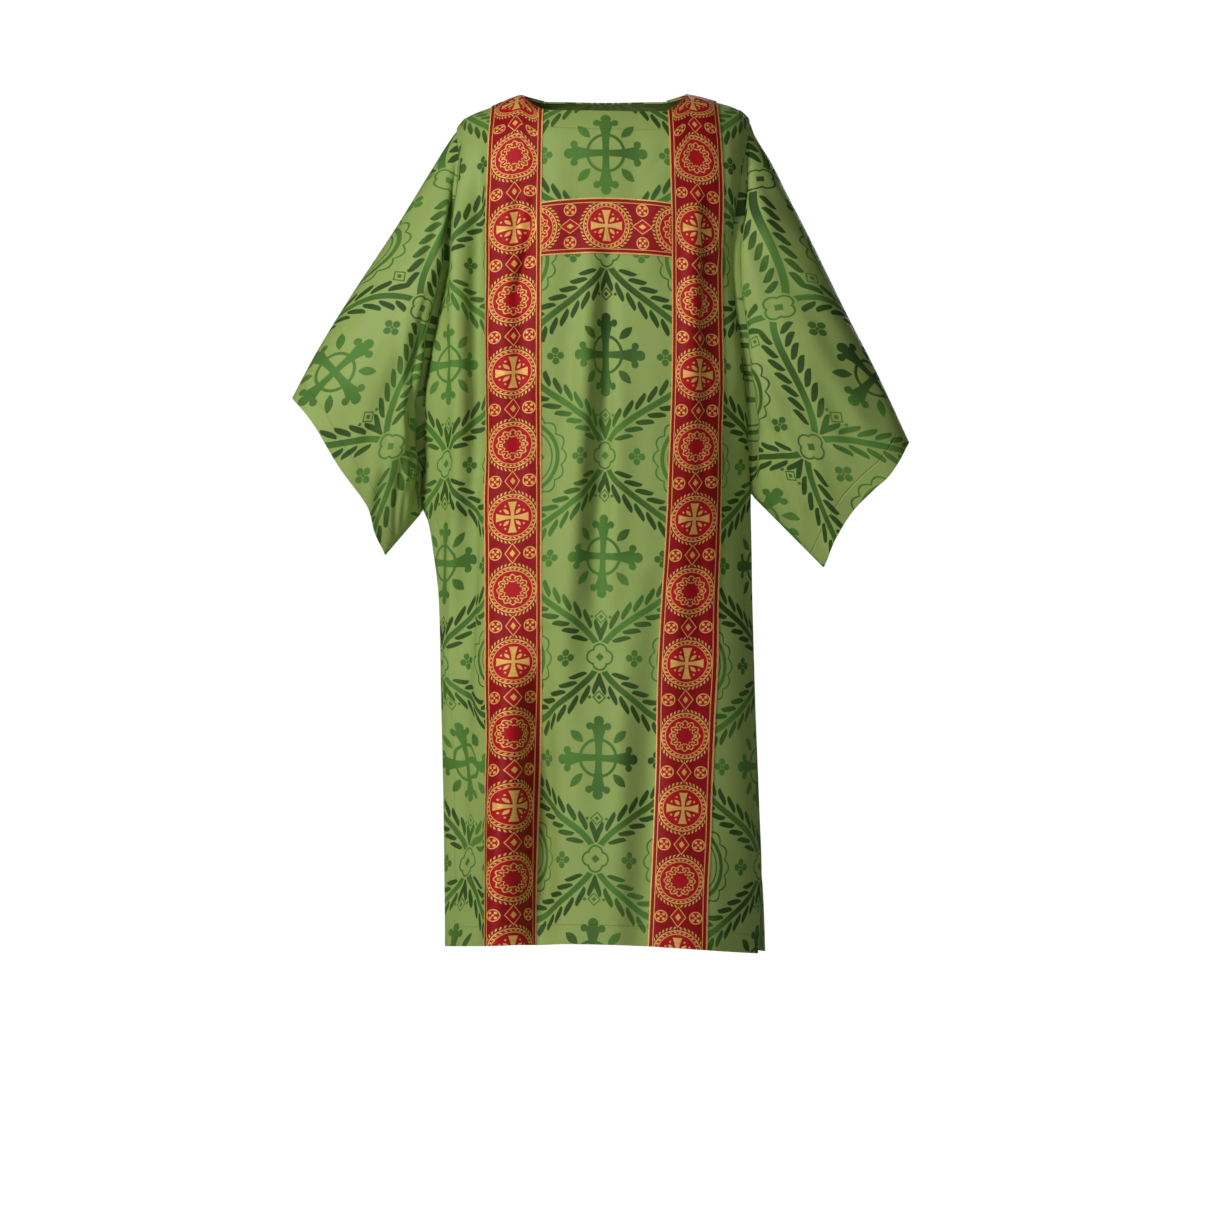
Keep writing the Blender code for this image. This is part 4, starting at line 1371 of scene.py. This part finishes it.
def light(name, place, size, power):
    data = bpy.data.lights.new(name, "AREA")
    data.shape = "DISK"
    data.size = size
    data.energy = power
    lamp = add_object(name, data)
    lamp.location = place
    x, y, z = np.array(LAMP_AIM) - np.array(place)
    lamp.rotation_euler = (math.atan2(math.hypot(x, y), -z), 0.0, math.atan2(-x, y))


def camera_ray(tree):
    """1 where the camera looks straight at a place, and 0 where light does."""
    return Signal(tree, tree.nodes.new("ShaderNodeLightPath").outputs["Is Camera Ray"])


def floor():
    corners = []
    for i in range(FLOOR_SIDES):
        turn = 2 * math.pi * i / FLOOR_SIDES
        corners.append((FLOOR_RADIUS * math.cos(turn), FLOOR_RADIUS * math.sin(turn), FLOOR_HEIGHT))
    look = Look("floor")
    look.fix("Base Color", (FLOOR_GREY, FLOOR_GREY, FLOOR_GREY, 1.0))
    look.fix("Roughness", 0.9)
    look.fix("Emission Color", (1.0, 1.0, 1.0, 1.0))
    look.drive("Emission Strength", camera_ray(look.tree) * SEEN_WHITE)
    add_mesh("floor", corners, [list(range(FLOOR_SIDES))], [look.material])


def studio():
    """White all round to look at, dimmer as light, with soft lamps in front and behind."""
    world = bpy.data.worlds.new("studio")
    world.use_nodes = True
    tree = world.node_tree
    background = tree.nodes["Background"]
    background.inputs["Color"].default_value = (1.0, 1.0, 1.0, 1.0)
    strength = camera_ray(tree) * (SEEN_WHITE - AMBIENT) + AMBIENT
    tree.links.new(strength.socket, background.inputs["Strength"])
    bpy.context.scene.world = world
    for lamp in LAMPS:
        light(*lamp)


def camera():
    data = bpy.data.cameras.new("camera")
    data.sensor_width = SENSOR
    data.lens = SENSOR * CAMERA_DISTANCE / (PHOTO_SIZE * PIXEL)
    eye = add_object("camera", data)
    half = PHOTO_SIZE / 2
    eye.location = ((half - MIDDLE_COLUMN) * PIXEL, -CAMERA_DISTANCE, (ORIGIN_ROW - half) * PIXEL)
    eye.rotation_euler = (math.radians(90), 0.0, 0.0)
    bpy.context.scene.camera = eye
    bpy.context.scene.view_settings.view_transform = "Standard"


camera()
green_thread = thread("green_thread", GREEN_THREAD)
gold_thread = thread("gold_thread", GOLD)
cloth_looks = [brocade(), reverse()]
band_looks = [galloon(), cloth_looks[1]]
front, back = Panel(FRONT), Panel(BACK)
sizes = {
    "front_panel": make_panel("front_panel", front, cloth_looks),
    "back_panel": make_panel("back_panel", back, cloth_looks),
    "front_crossband": make_crossband(front, band_looks),
}
for which in SIDES:
    sizes["sleeve_" + which] = make_sleeve(which, front, back, cloth_looks)
    for name, panel in (("front_band_" + which, front), ("back_band_" + which, back)):
        sizes[name] = make_upright_band(name, panel, which, band_looks)
for name, (wide, high, area) in sizes.items():
    print(f"{name}: {wide:.3f} x {high:.3f} m flat, {area:.3f} square metres")
floor()
studio()
